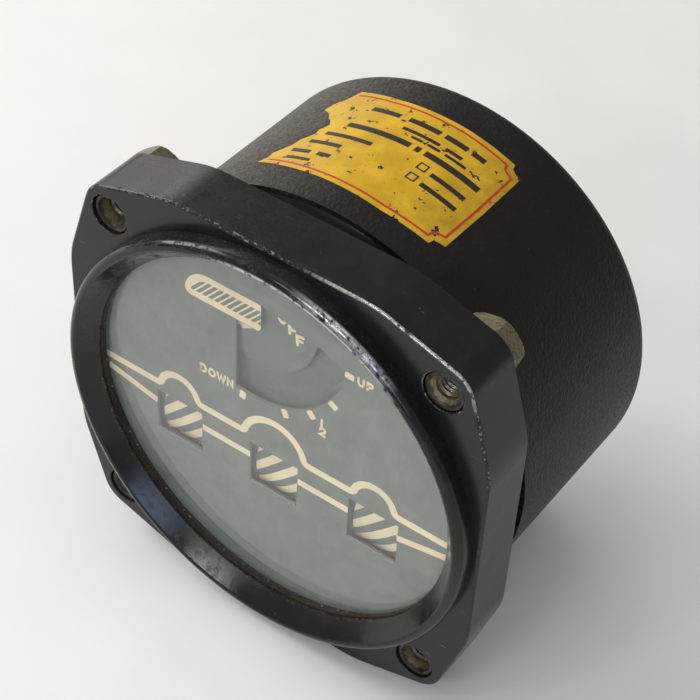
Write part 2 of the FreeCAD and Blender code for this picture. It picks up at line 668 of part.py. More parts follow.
# Rear receptacle
gasket_y0 = can_rear + stack_gap
shell_y = gasket_y0 + gasket_rear_thick + stack_gap
square = block(-recept_flange_half, shell_y, -recept_flange_half,
               recept_flange_half, shell_y + recept_flange_thick, recept_flange_half)
upright = [e for e in square.Edges if abs(e.Vertexes[0].Point.y - e.Vertexes[1].Point.y) > 0.5]
square = square.makeFillet(3.0, upright)
barrel = turned([(0, shell_y), (recept_r, shell_y), (recept_r, shell_y + 3.6),
                 (recept_r - 0.9, shell_y + 4.0),
                 (recept_r - 0.9, shell_y + 5.2), (recept_r, shell_y + 5.6), (recept_r, recept_end - 0.7),
                 (recept_r - 0.7, recept_end), (0, recept_end)])
skirt = cyl_y(0, 0, can_inner_back - 4.0, shell_y + 1.0, recept_hole - 0.4)
shell = square.fuse(barrel).fuse(skirt).cut(cyl_y(0, 0, can_rear - 20, recept_end + 5, recept_inner_r))
key = block(-0.8, shell_y + 5.0, recept_inner_r - 1.0, 0.8, recept_end - 1.5, recept_inner_r + 0.4)
shell = shell.fuse(key)
for px, pz in recept_spots:
    shell = shell.cut(cyl_y(px, pz, can_rear - 20, recept_end + 5, 1.1 + fit_gap))
save("receptacle_shell", shell.removeSplitter())

rear_seal = block(-recept_flange_half, gasket_y0, -recept_flange_half,
                  recept_flange_half, gasket_y0 + gasket_rear_thick, recept_flange_half)
seal_upright = [e for e in rear_seal.Edges if abs(e.Vertexes[0].Point.y - e.Vertexes[1].Point.y) > 0.5]
rear_seal = rear_seal.makeFillet(3.0, seal_upright)
rear_seal = rear_seal.cut(cyl_y(0, 0, can_rear - 20, recept_end + 5, recept_hole))
for px, pz in recept_spots:
    rear_seal = rear_seal.cut(cyl_y(px, pz, can_rear - 20, recept_end + 5, 1.1 + fit_gap))
save("receptacle_gasket", rear_seal)

pin_spots = [(0.0, 0.0)] + [polar(0, 0, 3.7, 60 * i + 30) for i in range(6)] \
    + [polar(0, 0, 7.4, 32.7 * i + 108) for i in range(11)]
insert_front = shell_y + 5.0
insert_back = can_inner_back - 4.6
insulator = cyl_y(0, 0, insert_back, insert_front, recept_inner_r - fit_gap)
for px, pz in pin_spots:
    insulator = insulator.cut(cyl_y(px, pz, can_rear - 20, recept_end + 5, pin_r + 0.02))
keyway = block(-0.9, insert_front - 1, recept_inner_r - 1.2, 0.9, insert_front + 1, recept_inner_r)
insulator = insulator.cut(keyway)
save("receptacle_insert", insulator)
save("receptacle_pins", compound([cyl_y(px, pz, insert_back - 2.5, recept_end - pin_recess, pin_r)
                                  for px, pz in pin_spots]))
recept_face = shell_y + recept_flange_thick + stack_gap
save("receptacle_screws", compound([screw_y(px, pz, recept_face, 1.3, 2.1, 1.1, can_inner_back - 3.0, -1)
                                    for px, pz in recept_spots]))
rear_nuts = []
for px, pz in recept_spots:
    rear_hex = [polar(px, pz, 2.5, 60 * i) for i in range(6)]
    nut = prism_y(rear_hex, can_inner_back - 1.9, can_inner_back - 0.1)
    rear_nuts.append(nut.cut(cyl_y(px, pz, can_rear - 20, recept_end + 5, 1.1 + 0.03)))
save("receptacle_nuts", compound(rear_nuts))
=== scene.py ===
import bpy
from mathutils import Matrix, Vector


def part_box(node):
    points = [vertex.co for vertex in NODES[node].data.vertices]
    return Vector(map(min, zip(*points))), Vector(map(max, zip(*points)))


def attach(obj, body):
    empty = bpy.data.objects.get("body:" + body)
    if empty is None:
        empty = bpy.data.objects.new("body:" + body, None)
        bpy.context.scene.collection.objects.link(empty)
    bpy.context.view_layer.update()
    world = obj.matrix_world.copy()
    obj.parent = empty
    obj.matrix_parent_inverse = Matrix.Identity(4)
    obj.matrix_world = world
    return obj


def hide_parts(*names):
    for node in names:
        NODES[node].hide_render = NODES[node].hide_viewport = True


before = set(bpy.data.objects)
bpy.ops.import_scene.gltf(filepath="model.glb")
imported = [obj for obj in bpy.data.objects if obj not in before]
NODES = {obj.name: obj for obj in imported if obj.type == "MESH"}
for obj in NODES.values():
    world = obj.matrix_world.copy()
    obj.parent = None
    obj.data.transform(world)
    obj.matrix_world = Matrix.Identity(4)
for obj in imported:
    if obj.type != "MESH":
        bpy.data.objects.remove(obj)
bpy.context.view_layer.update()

import math
import random

import bmesh
import bpy
from mathutils import Matrix, Vector

bl_info = {
    "name": "Wheel and flap position indicator",
    "version": (1, 0, 0),
    "blender": (4, 5, 0),
    "location": "View3D > Sidebar > Indicator",
    "description": "Dresses a wheel and flap position indicator on its packed frame",
    "category": "Object",
}

MM = 0.001


def side(node, axis, end):
    """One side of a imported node's box, in millimetres: end 0 is the low side and 1 the high side."""
    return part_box(node)[end][axis] / MM


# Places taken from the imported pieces, in millimetres
DIAL_FACE = side("dial_plate", 1, 0)
DISC_FACE = side("flap_pointer", 1, 0)
GLASS_FACE = side("cover_glass", 1, 0)
CAN_R = side("case_can", 0, 1)
DRUM_R = (side("drum_nose", 2, 1) - side("drum_nose", 2, 0)) / 2.0
DRUM_Y = (side("drum_nose", 1, 1) + side("drum_nose", 1, 0)) / 2.0
DRUM_Z = (side("drum_nose", 2, 1) + side("drum_nose", 2, 0)) / 2.0
DRUM_X = {
    name: (side("drum_" + name, 0, 0) + side("drum_" + name, 0, 1)) / 2.0
    for name in ("left", "nose", "right")
}
DRUM_HALF = (side("drum_nose", 0, 1) - side("drum_nose", 0, 0)) / 2.0
GLASS_RING_R = side("glass_ring", 0, 1)
CREST_FACE = side("bezel_flange", 1, 0)

# Places that their boxes don't give: the thickness of an insert's head, how far the holes are from the
# middle each way, the pointer's shaft, and the radii of the bezel's inner lip and crest
HEAD_THICK = 3.52
FLANGE_BACK = side("mount_inserts", 1, 1) - HEAD_THICK
HOLE_OFFSET = 31.43
PIVOT = (-4.5, 24.1)
LIP_R = 35.3
CREST_R = 38.7

# What lies nearer than this to a surface counts as part of it, in metres
FUSE_DISTANCE = 1e-8


def linear(red, green, blue):
    """A colour written as 0 to 255 values, as linear light."""
    def one(value):
        value = value / 255.0
        return value / 12.92 if value <= 0.04045 else ((value + 0.055) / 1.055) ** 2.4
    return (one(red), one(green), one(blue))


def length_property(name, description, millimetres):
    return bpy.props.FloatProperty(
        name=name, description=description, default=millimetres * MM, min=0.0, unit="LENGTH", precision=5)


class IndicatorSizes(bpy.types.PropertyGroup):
    """Sizes of the painted marks, the label and the fastenings."""

    paint_film: length_property("Paint film", "Thickness of the painted marks", 0.04)
    outline_width: length_property("Upper outline", "Width of the line that arches over the wheels", 1.35)
    belly_width: length_property("Lower outline", "Width of the line between the wheel windows", 1.3)
    stripe_pitch: length_property("Stripe pitch", "Distance between the drum stripes, across the drum", 4.15)
    stripe_width: length_property("Stripe width", "Width of a drum stripe, across the drum", 2.15)
    label_film: length_property("Label thickness", "Thickness of the label on the case", 0.06)
    rule_width: length_property("Label border", "Width of the border rule on the label", 0.42)
    thread_pitch: length_property("Insert thread", "Pitch of the thread in the mounting inserts", 0.79)


def colour_property(name, description, red, green, blue):
    return bpy.props.FloatVectorProperty(
        name=name, description=description, subtype="COLOR", size=3,
        default=linear(red, green, blue), min=0.0, max=1.0)


class IndicatorColours(bpy.types.PropertyGroup):
    """Colours of the finishes."""

    enamel: colour_property("Enamel", "Gloss enamel of the bezel and flange", 26, 26, 27)
    case_paint: colour_property("Case paint", "Fine-textured paint of the case", 31, 29, 26)
    dial: colour_property("Dial", "Matt paint of the dial", 118, 121, 110)
    ground: colour_property("Window ground", "Paint of the plate behind the flap window", 112, 116, 107)
    cream: colour_property("Cream", "Paint of the marks", 250, 227, 183)
    label: colour_property("Label", "Face of the case label", 224, 178, 26)
    border: colour_property("Label border", "Border rule of the label", 196, 58, 30)
    tarnish: colour_property("Tarnish", "Greenish film on the brass heads", 102, 99, 76)
    worn: colour_property("Worn metal", "Bare metal where the paint has gone", 176, 166, 140)
    floor: colour_property("Floor", "Surface that the object lies on", 245, 244, 242)


def sizes():
    return bpy.context.scene.indicator_sizes


def colours():
    return bpy.context.scene.indicator_colours


def shade(colour, factor):
    """A colour made lighter or darker, as a four-part socket value."""
    return (*[min(1.0, part * factor) for part in colour], 1.0)


def opaque(colour):
    return (*colour, 1.0)


class Finish:
    """A node material in the making, with short calls for the nodes that the finishes share."""

    def __init__(self, name, roughness=0.5, metallic=0.0, ior=1.5):
        self.material = bpy.data.materials.new(name)
        self.material.use_nodes = True
        self.tree = self.material.node_tree
        self.tree.nodes.clear()
        self.output = self.add("ShaderNodeOutputMaterial")
        self.shader = self.add("ShaderNodeBsdfPrincipled")
        self.fixed("Roughness", roughness)
        self.fixed("Metallic", metallic)
        self.fixed("IOR", ior)
        self.link(self.shader.outputs["BSDF"], self.output.inputs["Surface"])
        self.place = self.add("ShaderNodeTexCoord").outputs["Object"]
        # Plain grey where the nodes aren't drawn
        self.material.diffuse_color = (0.5, 0.5, 0.5, 1.0)

    def add(self, kind, **settings):
        node = self.tree.nodes.new(kind)
        for key, value in settings.items():
            setattr(node, key, value)
        return node

    def link(self, source, target):
        self.tree.links.new(source, target)

    def feed(self, socket, value):
        """Gives a socket a value, or a link if the value is another node's output."""
        if isinstance(value, bpy.types.NodeSocket):
            self.link(value, socket)
        else:
            socket.default_value = value

    def noise(self, per_mm, detail=3.0, roughness=0.5, stretch=(1.0, 1.0, 1.0), shift=0.0):
        mapping = self.add("ShaderNodeMapping")
        self.link(self.place, mapping.inputs["Vector"])
        mapping.inputs["Scale"].default_value = [s / MM for s in stretch]
        mapping.inputs["Location"].default_value = (shift, shift * 0.7, shift * 1.3)
        node = self.add("ShaderNodeTexNoise")
        self.link(mapping.outputs["Vector"], node.inputs["Vector"])
        node.inputs["Scale"].default_value = per_mm
        node.inputs["Detail"].default_value = detail
        node.inputs["Roughness"].default_value = roughness
        return node.outputs["Fac"]

    def cells(self, per_mm):
        """Distance from the middle of the nearest of many cells."""
        mapping = self.add("ShaderNodeMapping")
        self.link(self.place, mapping.inputs["Vector"])
        mapping.inputs["Scale"].default_value = (1 / MM, 1 / MM, 1 / MM)
        node = self.add("ShaderNodeTexVoronoi", feature="F1")
        self.link(mapping.outputs["Vector"], node.inputs["Vector"])
        node.inputs["Scale"].default_value = per_mm
        return node.outputs["Distance"]

    def span(self, value, low, high, out_low=0.0, out_high=1.0):
        node = self.add("ShaderNodeMapRange", clamp=True)
        self.feed(node.inputs["Value"], value)
        node.inputs["From Min"].default_value = low
        node.inputs["From Max"].default_value = high
        node.inputs["To Min"].default_value = out_low
        node.inputs["To Max"].default_value = out_high
        return node.outputs["Result"]

    def patches(self, per_mm, low, high, out_low=0.0, out_high=1.0, detail=4.0, roughness=0.6,
                stretch=(1.0, 1.0, 1.0), shift=0.0):
        """Noise spread between two levels, for stains, wear and grain."""
        pattern = self.noise(per_mm, detail, roughness, stretch, shift)
        return self.span(pattern, low, high, out_low, out_high)

    def sum(self, operation, first, second=0.0):
        node = self.add("ShaderNodeMath", operation=operation)
        self.feed(node.inputs[0], first)
        self.feed(node.inputs[1], second)
        return node.outputs["Value"]

    def times(self, first, *others):
        """All the values multiplied."""
        for other in others:
            first = self.sum("MULTIPLY", first, other)
        return first

    def plus(self, first, second):
        return self.sum("ADD", first, second)

    def minus(self, first, second):
        return self.sum("SUBTRACT", first, second)

    def higher(self, first, second):
        return self.sum("MAXIMUM", first, second)

    def length(self, first, second):
        """The length of the line whose two parts are given."""
        return self.sum("SQRT", self.plus(self.times(first, first), self.times(second, second)))

    def fixed(self, socket, value):
        """A value that is the same all over, set on the shader's own socket."""
        self.shader.inputs[socket].default_value = value

    def blend(self, factor, first, second):
        node = self.add("ShaderNodeMix", data_type="RGBA")
        self.feed(node.inputs["Factor"], factor)
        self.feed(node.inputs[6], first)
        self.feed(node.inputs[7], second)
        return node.outputs[2]

    def parts(self, vector=None):
        node = self.add("ShaderNodeSeparateXYZ")
        self.link(vector or self.place, node.inputs["Vector"])
        return node.outputs["X"], node.outputs["Y"], node.outputs["Z"]

    def radius(self):
        """Distance from the dial's axis, in metres."""
        across, _, upward = self.parts()
        return self.length(across, upward)

    def facing(self):
        """The surface direction's three parts."""
        return self.parts(self.add("ShaderNodeNewGeometry").outputs["Normal"])

    def between(self, factor, first, second):
        """A shader part of the way from one to another."""
        node = self.add("ShaderNodeMixShader")
        self.link(factor, node.inputs["Fac"])
        self.link(first.outputs[0], node.inputs[1])
        self.link(second.outputs[0], node.inputs[2])
        return node

    def colour(self, value):
        self.feed(self.shader.inputs["Base Color"], value)

    def rough(self, value):
        self.feed(self.shader.inputs["Roughness"], value)

    def bump(self, height, distance_mm, strength=1.0):
        node = self.add("ShaderNodeBump")
        node.inputs["Strength"].default_value = strength
        node.inputs["Distance"].default_value = distance_mm * MM
        self.link(height, node.inputs["Height"])
        self.link(node.outputs["Normal"], self.shader.inputs["Normal"])


def mottled(name, colour, spread=0.25, per_mm=0.6, rough=(0.4, 0.55), bump_mm=0.01, bump_per_mm=4.0,
            metallic=0.0, spots=None, spot_share=0.0, stretch=(1.0, 1.0, 1.0)):
    """A finish with two tones, fine grain, uneven gloss and, if asked, spots of another colour. The more
    per_mm, the finer the pattern."""
    finish = Finish(name, metallic=metallic)
    tone = finish.patches(per_mm, 0.3, 0.7, stretch=stretch)
    base = finish.blend(tone, shade(colour, 1.0 - spread), shade(colour, 1.0 + spread))
    if spots is not None:
        level = 0.66 - spot_share
        mask = finish.patches(per_mm * 3.1, level, level + 0.06, detail=5.0, roughness=0.65,
                              stretch=stretch, shift=7.0)
        base = finish.blend(mask, base, opaque(spots))
    finish.colour(base)
    finish.rough(finish.patches(per_mm * 1.7, 0.3, 0.7, *rough, detail=3.0, roughness=0.5,
                                stretch=stretch, shift=3.0))
    finish.bump(finish.noise(bump_per_mm, 3.0, 0.55, stretch, 5.0), bump_mm)
    return finish.material


def enamel_dust(finish, upward_turn, across):
    """Dust on what faces up, most of it to the left."""
    leftward = finish.span(across, -32 * MM, 10 * MM, 1.0, 0.1)
    settled = finish.span(upward_turn, 0.35, 0.95)
    grain = finish.patches(2.2, 0.42, 0.75, 0.1, 0.5, roughness=0.62, shift=2.0)
    return finish.times(settled, grain, leftward)


def enamel_marks(finish):
    """Fine scratches and specks on the flats."""
    scratch = finish.patches(0.9, 0.745, 0.77, detail=2.0, roughness=0.5, stretch=(0.35, 3.0, 3.0),
                             shift=9.0)
    speck = finish.patches(3.1, 0.775, 0.79, detail=2.0, roughness=0.4, shift=12.0)
    return finish.higher(finish.times(scratch, 0.25), finish.times(speck, 0.7))


def enamel_edge_wear(finish, across, depth, upward, front_turn):
    """Masks for the flange's front edge: chipped to the metal, gouged, and bright at the upper right, where
    worn metal carries a painted highlight.
    """
    # Only at that edge does the surface look between the front and a side so near the front
    slant = finish.times(finish.span(front_turn, -0.985, -0.9),
                         finish.span(front_turn, -0.35, -0.1, 1.0, 0.0))
    near_front = finish.times(finish.span(depth, 0.7 * MM, 0.9 * MM, 1.0, 0.0),
                              finish.span(depth, -0.15 * MM, -0.05 * MM))
    upper = finish.span(upward, 12 * MM, 33 * MM, 0.1, 1.0)
    patchy = finish.patches(0.11, 0.38, 0.54, 0.2, 1.0, detail=2.0, roughness=0.5, shift=19.0)
    chips = finish.patches(1.7, 0.55, 0.58, detail=5.0, roughness=0.74, shift=4.0)
    bare = finish.times(slant, near_front, upper, patchy, chips)
    # Gouges run in from the edge over the first millimetre
    rim = finish.times(finish.span(depth, 1.3 * MM, 0.3 * MM), finish.span(front_turn, -0.99, -0.8))
    gouge = finish.times(finish.patches(0.62, 0.56, 0.6, detail=5.0, roughness=0.7, shift=33.0), rim, upper)
    # Bright line along the upper right front edge: worn metal, partly a painted highlight
    corner = finish.times(finish.span(upward, 30 * MM, 34 * MM), finish.span(across, 6 * MM, 13 * MM))
    rubbed_and_highlight = finish.times(slant, finish.span(depth, 0.34 * MM, 0.48 * MM, 1.0, 0.0), corner,
                          finish.patches(0.8, 0.4, 0.5, detail=5.0, roughness=0.7, shift=41.0))
    return bare, gouge, rubbed_and_highlight


def enamel_boss_wear(finish, across, depth, upward, radius):
    """Masks for the boss: its scuffed crest, its browned inner lip and a bright line inside the crest, worn
    metal with a painted highlight.
    """
    crest = finish.times(finish.span(depth, (CREST_FACE + 0.04) * MM, (CREST_FACE + 0.14) * MM, 1.0, 0.0),
                         finish.patches(1.9, 0.66, 0.69, detail=5.0, roughness=0.75, shift=8.0))
    lip = finish.times(finish.span(radius, (LIP_R + 0.1) * MM, (LIP_R + 0.42) * MM, 1.0, 0.0),
                       finish.span(depth, 0.16 * MM, 0.2 * MM, 1.0, 0.0),
                       finish.patches(2.6, 0.57, 0.62, detail=5.0, roughness=0.75, shift=6.0))
    inner_edge = finish.times(finish.span(radius, (CREST_R - 0.3) * MM, CREST_R * MM, 1.0, 0.0),
                              finish.span(depth, -2.95 * MM, -2.6 * MM, 1.0, 0.0))
    # Bright line inside the crest near the top: worn metal, partly a painted highlight
    polish_and_highlight = finish.times(finish.span(upward, 27 * MM, 33 * MM), finish.span(across, -12 * MM, -2 * MM),
                            inner_edge,
                            finish.patches(0.5, 0.42, 0.5, detail=5.0, roughness=0.7, shift=23.0))
    return crest, lip, polish_and_highlight


def enamel_finish():
    """Black enamel: dusty to the left, gouged and chipped along the front edge, worn at the lip, with
    painted highlights on two bright lines.
    """
    finish = Finish("enamel_gloss", ior=1.45)
    black = colours().enamel
    across, depth, upward = finish.parts()
    radius = finish.radius()
    _, front_turn, upward_turn = finish.facing()
    blotch = finish.noise(0.16, 4.0, 0.6)
    dusty = enamel_dust(finish, upward_turn, across)
    bare, gouge, rubbed_and_highlight = enamel_edge_wear(finish, across, depth, upward, front_turn)
    crest, lip, polish_and_highlight = enamel_boss_wear(finish, across, depth, upward, radius)
    # Both bright lines are worn pale metal with a painted highlight in them
    polish_and_highlight = finish.higher(polish_and_highlight, rubbed_and_highlight)
    base = finish.blend(finish.span(blotch, 0.35, 0.7), opaque(black), shade(black, 1.5))
    layers = [(dusty, 0.4, linear(96, 92, 84)), (enamel_marks(finish), 1.0, linear(150, 142, 122)),
              (gouge, 0.8, linear(9, 9, 9)), (lip, 0.8, linear(118, 102, 62)),
              (crest, 0.7, linear(118, 114, 100)), (polish_and_highlight, 0.9, linear(206, 206, 206)),
              (bare, 1.0, colours().worn)]
    for mask, strength, tone in layers:
        base = finish.blend(finish.times(mask, strength), base, opaque(tone))
    finish.colour(base)
    finish.feed(finish.shader.inputs["Metallic"], finish.times(polish_and_highlight, 0.9))
    finish.fixed("Specular IOR Level", 0.38)
    damaged = finish.higher(bare, gouge)
    slope = finish.times(finish.span(radius, (LIP_R - 0.1) * MM, (LIP_R + 0.3) * MM),
                         finish.span(depth, -3.6 * MM, -0.3 * MM, 1.0, 0.0))
    gloss = finish.minus(finish.span(blotch, 0.3, 0.7, 0.2, 0.28), finish.times(slope, 0.13))
    gloss = finish.plus(gloss, finish.times(dusty, 0.35))
    finish.rough(finish.plus(gloss, finish.times(damaged, 0.3)))
    height = finish.times(finish.noise(0.7, 2.0, 0.5, shift=15.0), 0.25)
    finish.bump(finish.minus(height, damaged), 0.06, 0.8)
    return finish.material


def case_finish():
    """Black paint with a fine crackle, dusty above, worn towards the left and scuffed near the label;
    painted shade darkens it to the right, and painted sheen and glints lighten it.
    """
    finish = Finish("case_black_fine", roughness=0.5)
    paint = colours().case_paint
    across, _, upward = finish.parts()
    grain = finish.noise(2.0, 4.0, 0.68)
    base = finish.blend(finish.patches(0.12, 0.35, 0.68, shift=3.0), shade(paint, 0.65), shade(paint, 1.15))
    # Light flecks on the crackle: its texture, and partly painted glints on its ridges
    base = finish.blend(finish.span(grain, 0.52, 0.7, 0.0, 0.45), base, shade(paint, 3.4))
    # Painted shade: the paint darkens towards the right side of the case
    base = finish.blend(finish.span(across, -4 * MM, 26 * MM, 0.0, 0.62), base, shade(paint, 0.12))
    upper_left = finish.times(finish.span(across, -34 * MM, 0.0, 1.0, 0.0),
                              finish.span(upward, 12 * MM, 34 * MM))
    # Dust on the upper left, made pale and heavy enough to also be a painted sheen on that side
    dust = finish.times(upper_left, finish.patches(1.3, 0.4, 0.72, detail=5.0, roughness=0.7, shift=6.0))
    scuff = finish.times(upper_left, finish.patches(0.55, 0.66, 0.69, stretch=(2.6, 0.5, 2.6), shift=11.0))
    nick = finish.patches(1.6, 0.75, 0.765, detail=3.0, roughness=0.5, shift=21.0)
    layers = [(dust, 0.8, linear(140, 134, 114)), (scuff, 0.85, linear(170, 138, 70)),
              (nick, 0.6, linear(120, 108, 80))]
    for mask, strength, tone in layers:
        base = finish.blend(finish.times(mask, strength), base, opaque(tone))
    finish.colour(base)
    finish.fixed("Specular IOR Level", 0.27)
    finish.rough(finish.span(grain, 0.3, 0.7, 0.34, 0.6))
    finish.bump(finish.plus(grain, finish.times(finish.cells(1.5), 0.5)), 0.14, 0.9)
    return finish.material


def paint_finish(name, colour, spread=0.05, worn=None, recess_painted_light=1.0):
    """Matt instrument paint with soft clouds, darker flecks and a few pale specks of dust. The last factor
    lightens what lies behind the dial's face at the wheel windows: painted light that cancels the shade
    there."""
    finish = Finish(name, roughness=0.7)
    fleck = finish.noise(0.75, 4.0, 0.62, shift=2.0)
    cloud = finish.patches(0.2, 0.36, 0.64)
    base = finish.blend(cloud, shade(colour, 1.0 - spread), shade(colour, 1.0 + spread))
    base = finish.blend(finish.span(fleck, 0.52, 0.75, 0.0, 0.5), base, shade(colour, 1.0 - spread * 3.0))
    dust = finish.patches(1.9, 0.79, 0.82, 0.0, 0.5, detail=1.0, roughness=0.3, shift=17.0)
    base = finish.blend(dust, base, opaque(linear(205, 205, 196)))
    # Painted light: lighter paint behind the dial's face at the wheel windows, against the shade there
    if recess_painted_light != 1.0:
        _, depth, upward = finish.parts()
        painted_light_mask = finish.times(finish.span(depth, (DIAL_FACE + 0.03) * MM, (DIAL_FACE + 0.09) * MM),
                                finish.span(upward, 1 * MM, -1 * MM))
        base = finish.blend(painted_light_mask, base, shade(colour, recess_painted_light))
    if worn is not None:
        thin = finish.patches(1.1, 0.7, 0.76, 0.0, 0.35, detail=5.0, roughness=0.7, shift=5.0)
        base = finish.blend(thin, base, opaque(worn))
    finish.colour(base)
    finish.rough(finish.span(fleck, 0.3, 0.7, 0.6, 0.8))
    finish.bump(finish.noise(0.3, 2.0, 0.5, shift=11.0), 0.01, 0.25)
    return finish.material


def label_finish():
    """Yellow printed film: stained brown to the right, flaked through to the black paint in spots."""
    finish = Finish("label_yellow", roughness=0.42)
    yellow = colours().label
    across, _, _ = finish.parts()
    cloud = finish.noise(0.22, 4.0, 0.6)
    grain = finish.noise(2.4, 4.0, 0.62, shift=3.0)
    base = finish.blend(finish.span(cloud, 0.35, 0.7), shade(yellow, 0.82), shade(yellow, 1.12))
    stain = finish.times(finish.span(across, 6 * MM, 18 * MM),
                         finish.patches(0.5, 0.4, 0.75, shift=8.0), 0.55)
    base = finish.blend(stain, base, opaque(linear(140, 92, 24)))
    base = finish.blend(finish.span(grain, 0.5, 0.85, 0.0, 0.4), base, shade(yellow, 0.6))
    flake = finish.patches(0.5, 0.622, 0.637, roughness=0.64, shift=31.0)
    base = finish.blend(flake, base, shade(colours().case_paint, 0.8))
    finish.colour(base)
    finish.rough(finish.span(cloud, 0.3, 0.7, 0.34, 0.5))
    finish.bump(finish.minus(finish.times(grain, 0.3), flake), 0.05, 0.8)
    return finish.material


def enamelled_rim(finish, across, depth, upward):
    """Mask for the front rim of an insert, which the flange's enamel runs over unevenly."""
    aside = finish.minus(finish.sum("ABSOLUTE", across), HOLE_OFFSET * MM)
    above = finish.minus(finish.sum("ABSOLUTE", upward), HOLE_OFFSET * MM)
    ragged = finish.patches(0.9, 0.3, 0.7, 0.0, 0.4 * MM, detail=3.0, shift=27.0)
    from_hole = finish.plus(finish.length(aside, above), ragged)
    return finish.times(finish.span(from_hole, 2.65 * MM, 2.8 * MM), finish.span(depth, 5 * MM, 4 * MM))


def tarnished_brass(name, film, bright, film_share=0.55, rough=(0.34, 0.62)):
    """Old brass: a greenish film on the heads, browner in the countersinks, with bare metal in places."""
    finish = Finish(name)
    across, depth, upward = finish.parts()
    film_mask = finish.patches(0.8, 0.35, 0.62, 1.0 - film_share, 1.0, detail=5.0, roughness=0.65)
    grime = finish.patches(1.9, 0.5, 0.7, shift=5.0)
    browned = (film[0] * 0.8, film[1] * 0.68, film[2] * 0.62)
    tone = finish.blend(finish.span(depth, 6 * MM, 9 * MM), opaque(browned), opaque(film))
    base = finish.blend(film_mask, opaque(bright), tone)
    base = finish.blend(finish.times(grime, 0.75), base, opaque(linear(46, 41, 29)))
    rim = enamelled_rim(finish, across, depth, upward)
    base = finish.blend(finish.times(rim, 0.9), base, opaque(linear(48, 47, 45)))
    finish.colour(base)
    finish.feed(finish.shader.inputs["Metallic"], finish.span(film_mask, 0.3, 0.9, 0.9, 0.1))
    finish.rough(finish.span(grime, 0.0, 1.0, *rough))
    finish.bump(finish.noise(2.6, 4.0, 0.6, shift=9.0), 0.05, 0.8)
    return finish.material


def glass_finish():
    """Clear glass with a thin haze of dust, open to the lamps so that the dial behind it is lit."""
    finish = Finish("cover_glass_clear", roughness=0.02, ior=1.52)
    finish.fixed("Base Color", (0.97, 0.985, 0.975, 1.0))
    finish.fixed("Transmission Weight", 1.0)
    haze = finish.add("ShaderNodeBsdfDiffuse")
    haze.inputs["Color"].default_value = opaque(linear(190, 192, 188))
    smear = finish.patches(0.13, 0.36, 0.68, 0.0, 0.045, shift=4.0)
    speck = finish.patches(1.5, 0.79, 0.81, 0.0, 0.3, detail=1.0, roughness=0.4, shift=14.0)
    dusted = finish.between(finish.plus(smear, speck), finish.shader, haze)
    lamp_ray = finish.add("ShaderNodeLightPath").outputs["Is Shadow Ray"]
    open_to_lamps = finish.between(lamp_ray, dusted, finish.add("ShaderNodeBsdfTransparent"))
    finish.link(open_to_lamps.outputs[0], finish.output.inputs["Surface"])
    return finish.material


def wound_wire(name, colour):
    """Enamelled wire, wound in fine even turns, with painted shade between the turns and a painted highlight
    along each.
    """
    finish = Finish(name, roughness=0.35, metallic=0.6)
    _, depth, _ = finish.parts()
    turns = finish.sum("SINE", finish.times(depth, 2.0 * math.pi / (0.28 * MM)))
    tone = finish.noise(1.2, 3.0, 0.6)
    # Painted shade and highlight: each turn darkens towards its sides and lightens along its crest
    base = finish.blend(finish.span(turns, -1.0, 1.0), shade(colour, 0.45), shade(colour, 1.15))
    finish.colour(finish.blend(finish.span(tone, 0.4, 0.7, 0.0, 0.4), base, shade(colour, 0.6)))
    finish.rough(finish.span(tone, 0.3, 0.7, 0.28, 0.45))
    finish.bump(turns, 0.06, 0.8)
    return finish.material


def link_piece(name, mesh, material, body):
    """Makes the mesh a named piece that rides on a body."""
    piece = bpy.data.objects.new(name, mesh)
    bpy.context.scene.collection.objects.link(piece)
    mesh.materials.clear()
    mesh.materials.append(material)
    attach(piece, body)
    return piece


def finish_mesh(name, shape, smooth_degrees=32.0):
    """Turns an edited mesh into a named one, round where faces meet at less than the given angle."""
    bmesh.ops.remove_doubles(shape, verts=shape.verts, dist=FUSE_DISTANCE)
    mesh = bpy.data.meshes.new(name)
    shape.to_mesh(mesh)
    shape.free()
    for face in mesh.polygons:
        face.use_smooth = True
    mesh.set_sharp_from_angle(angle=math.radians(smooth_degrees))
    return mesh


def polar(radius, degrees, centre=(0.0, 0.0)):
    angle = math.radians(degrees)
    return (centre[0] + radius * math.cos(angle), centre[1] + radius * math.sin(angle))


def arc(centre, radius, start, end, steps=10):
    return [polar(radius, start + (end - start) * i / steps, centre) for i in range(steps + 1)]


def rounded(corners, steps=8):
    """A closed outline from corners given as (u, v, corner radius)."""
    outline = []
    count = len(corners)
    for i, (u, v, radius) in enumerate(corners):
        here = Vector((u, v))
        if radius <= 0.0:
            outline.append((u, v))
            continue
        before = (Vector(corners[i - 1][:2]) - here).normalized()
        after = (Vector(corners[(i + 1) % count][:2]) - here).normalized()
        half = before.angle(after) / 2.0
        centre = here + (before + after).normalized() * (radius / math.sin(half))
        start = here + before * (radius / math.tan(half)) - centre
        end = here + after * (radius / math.tan(half)) - centre
        sweep = start.angle_signed(end)
        for k in range(steps + 1):
            turned = Matrix.Rotation(-sweep * k / steps, 2) @ start
            outline.append(tuple(centre + turned))
    return outline


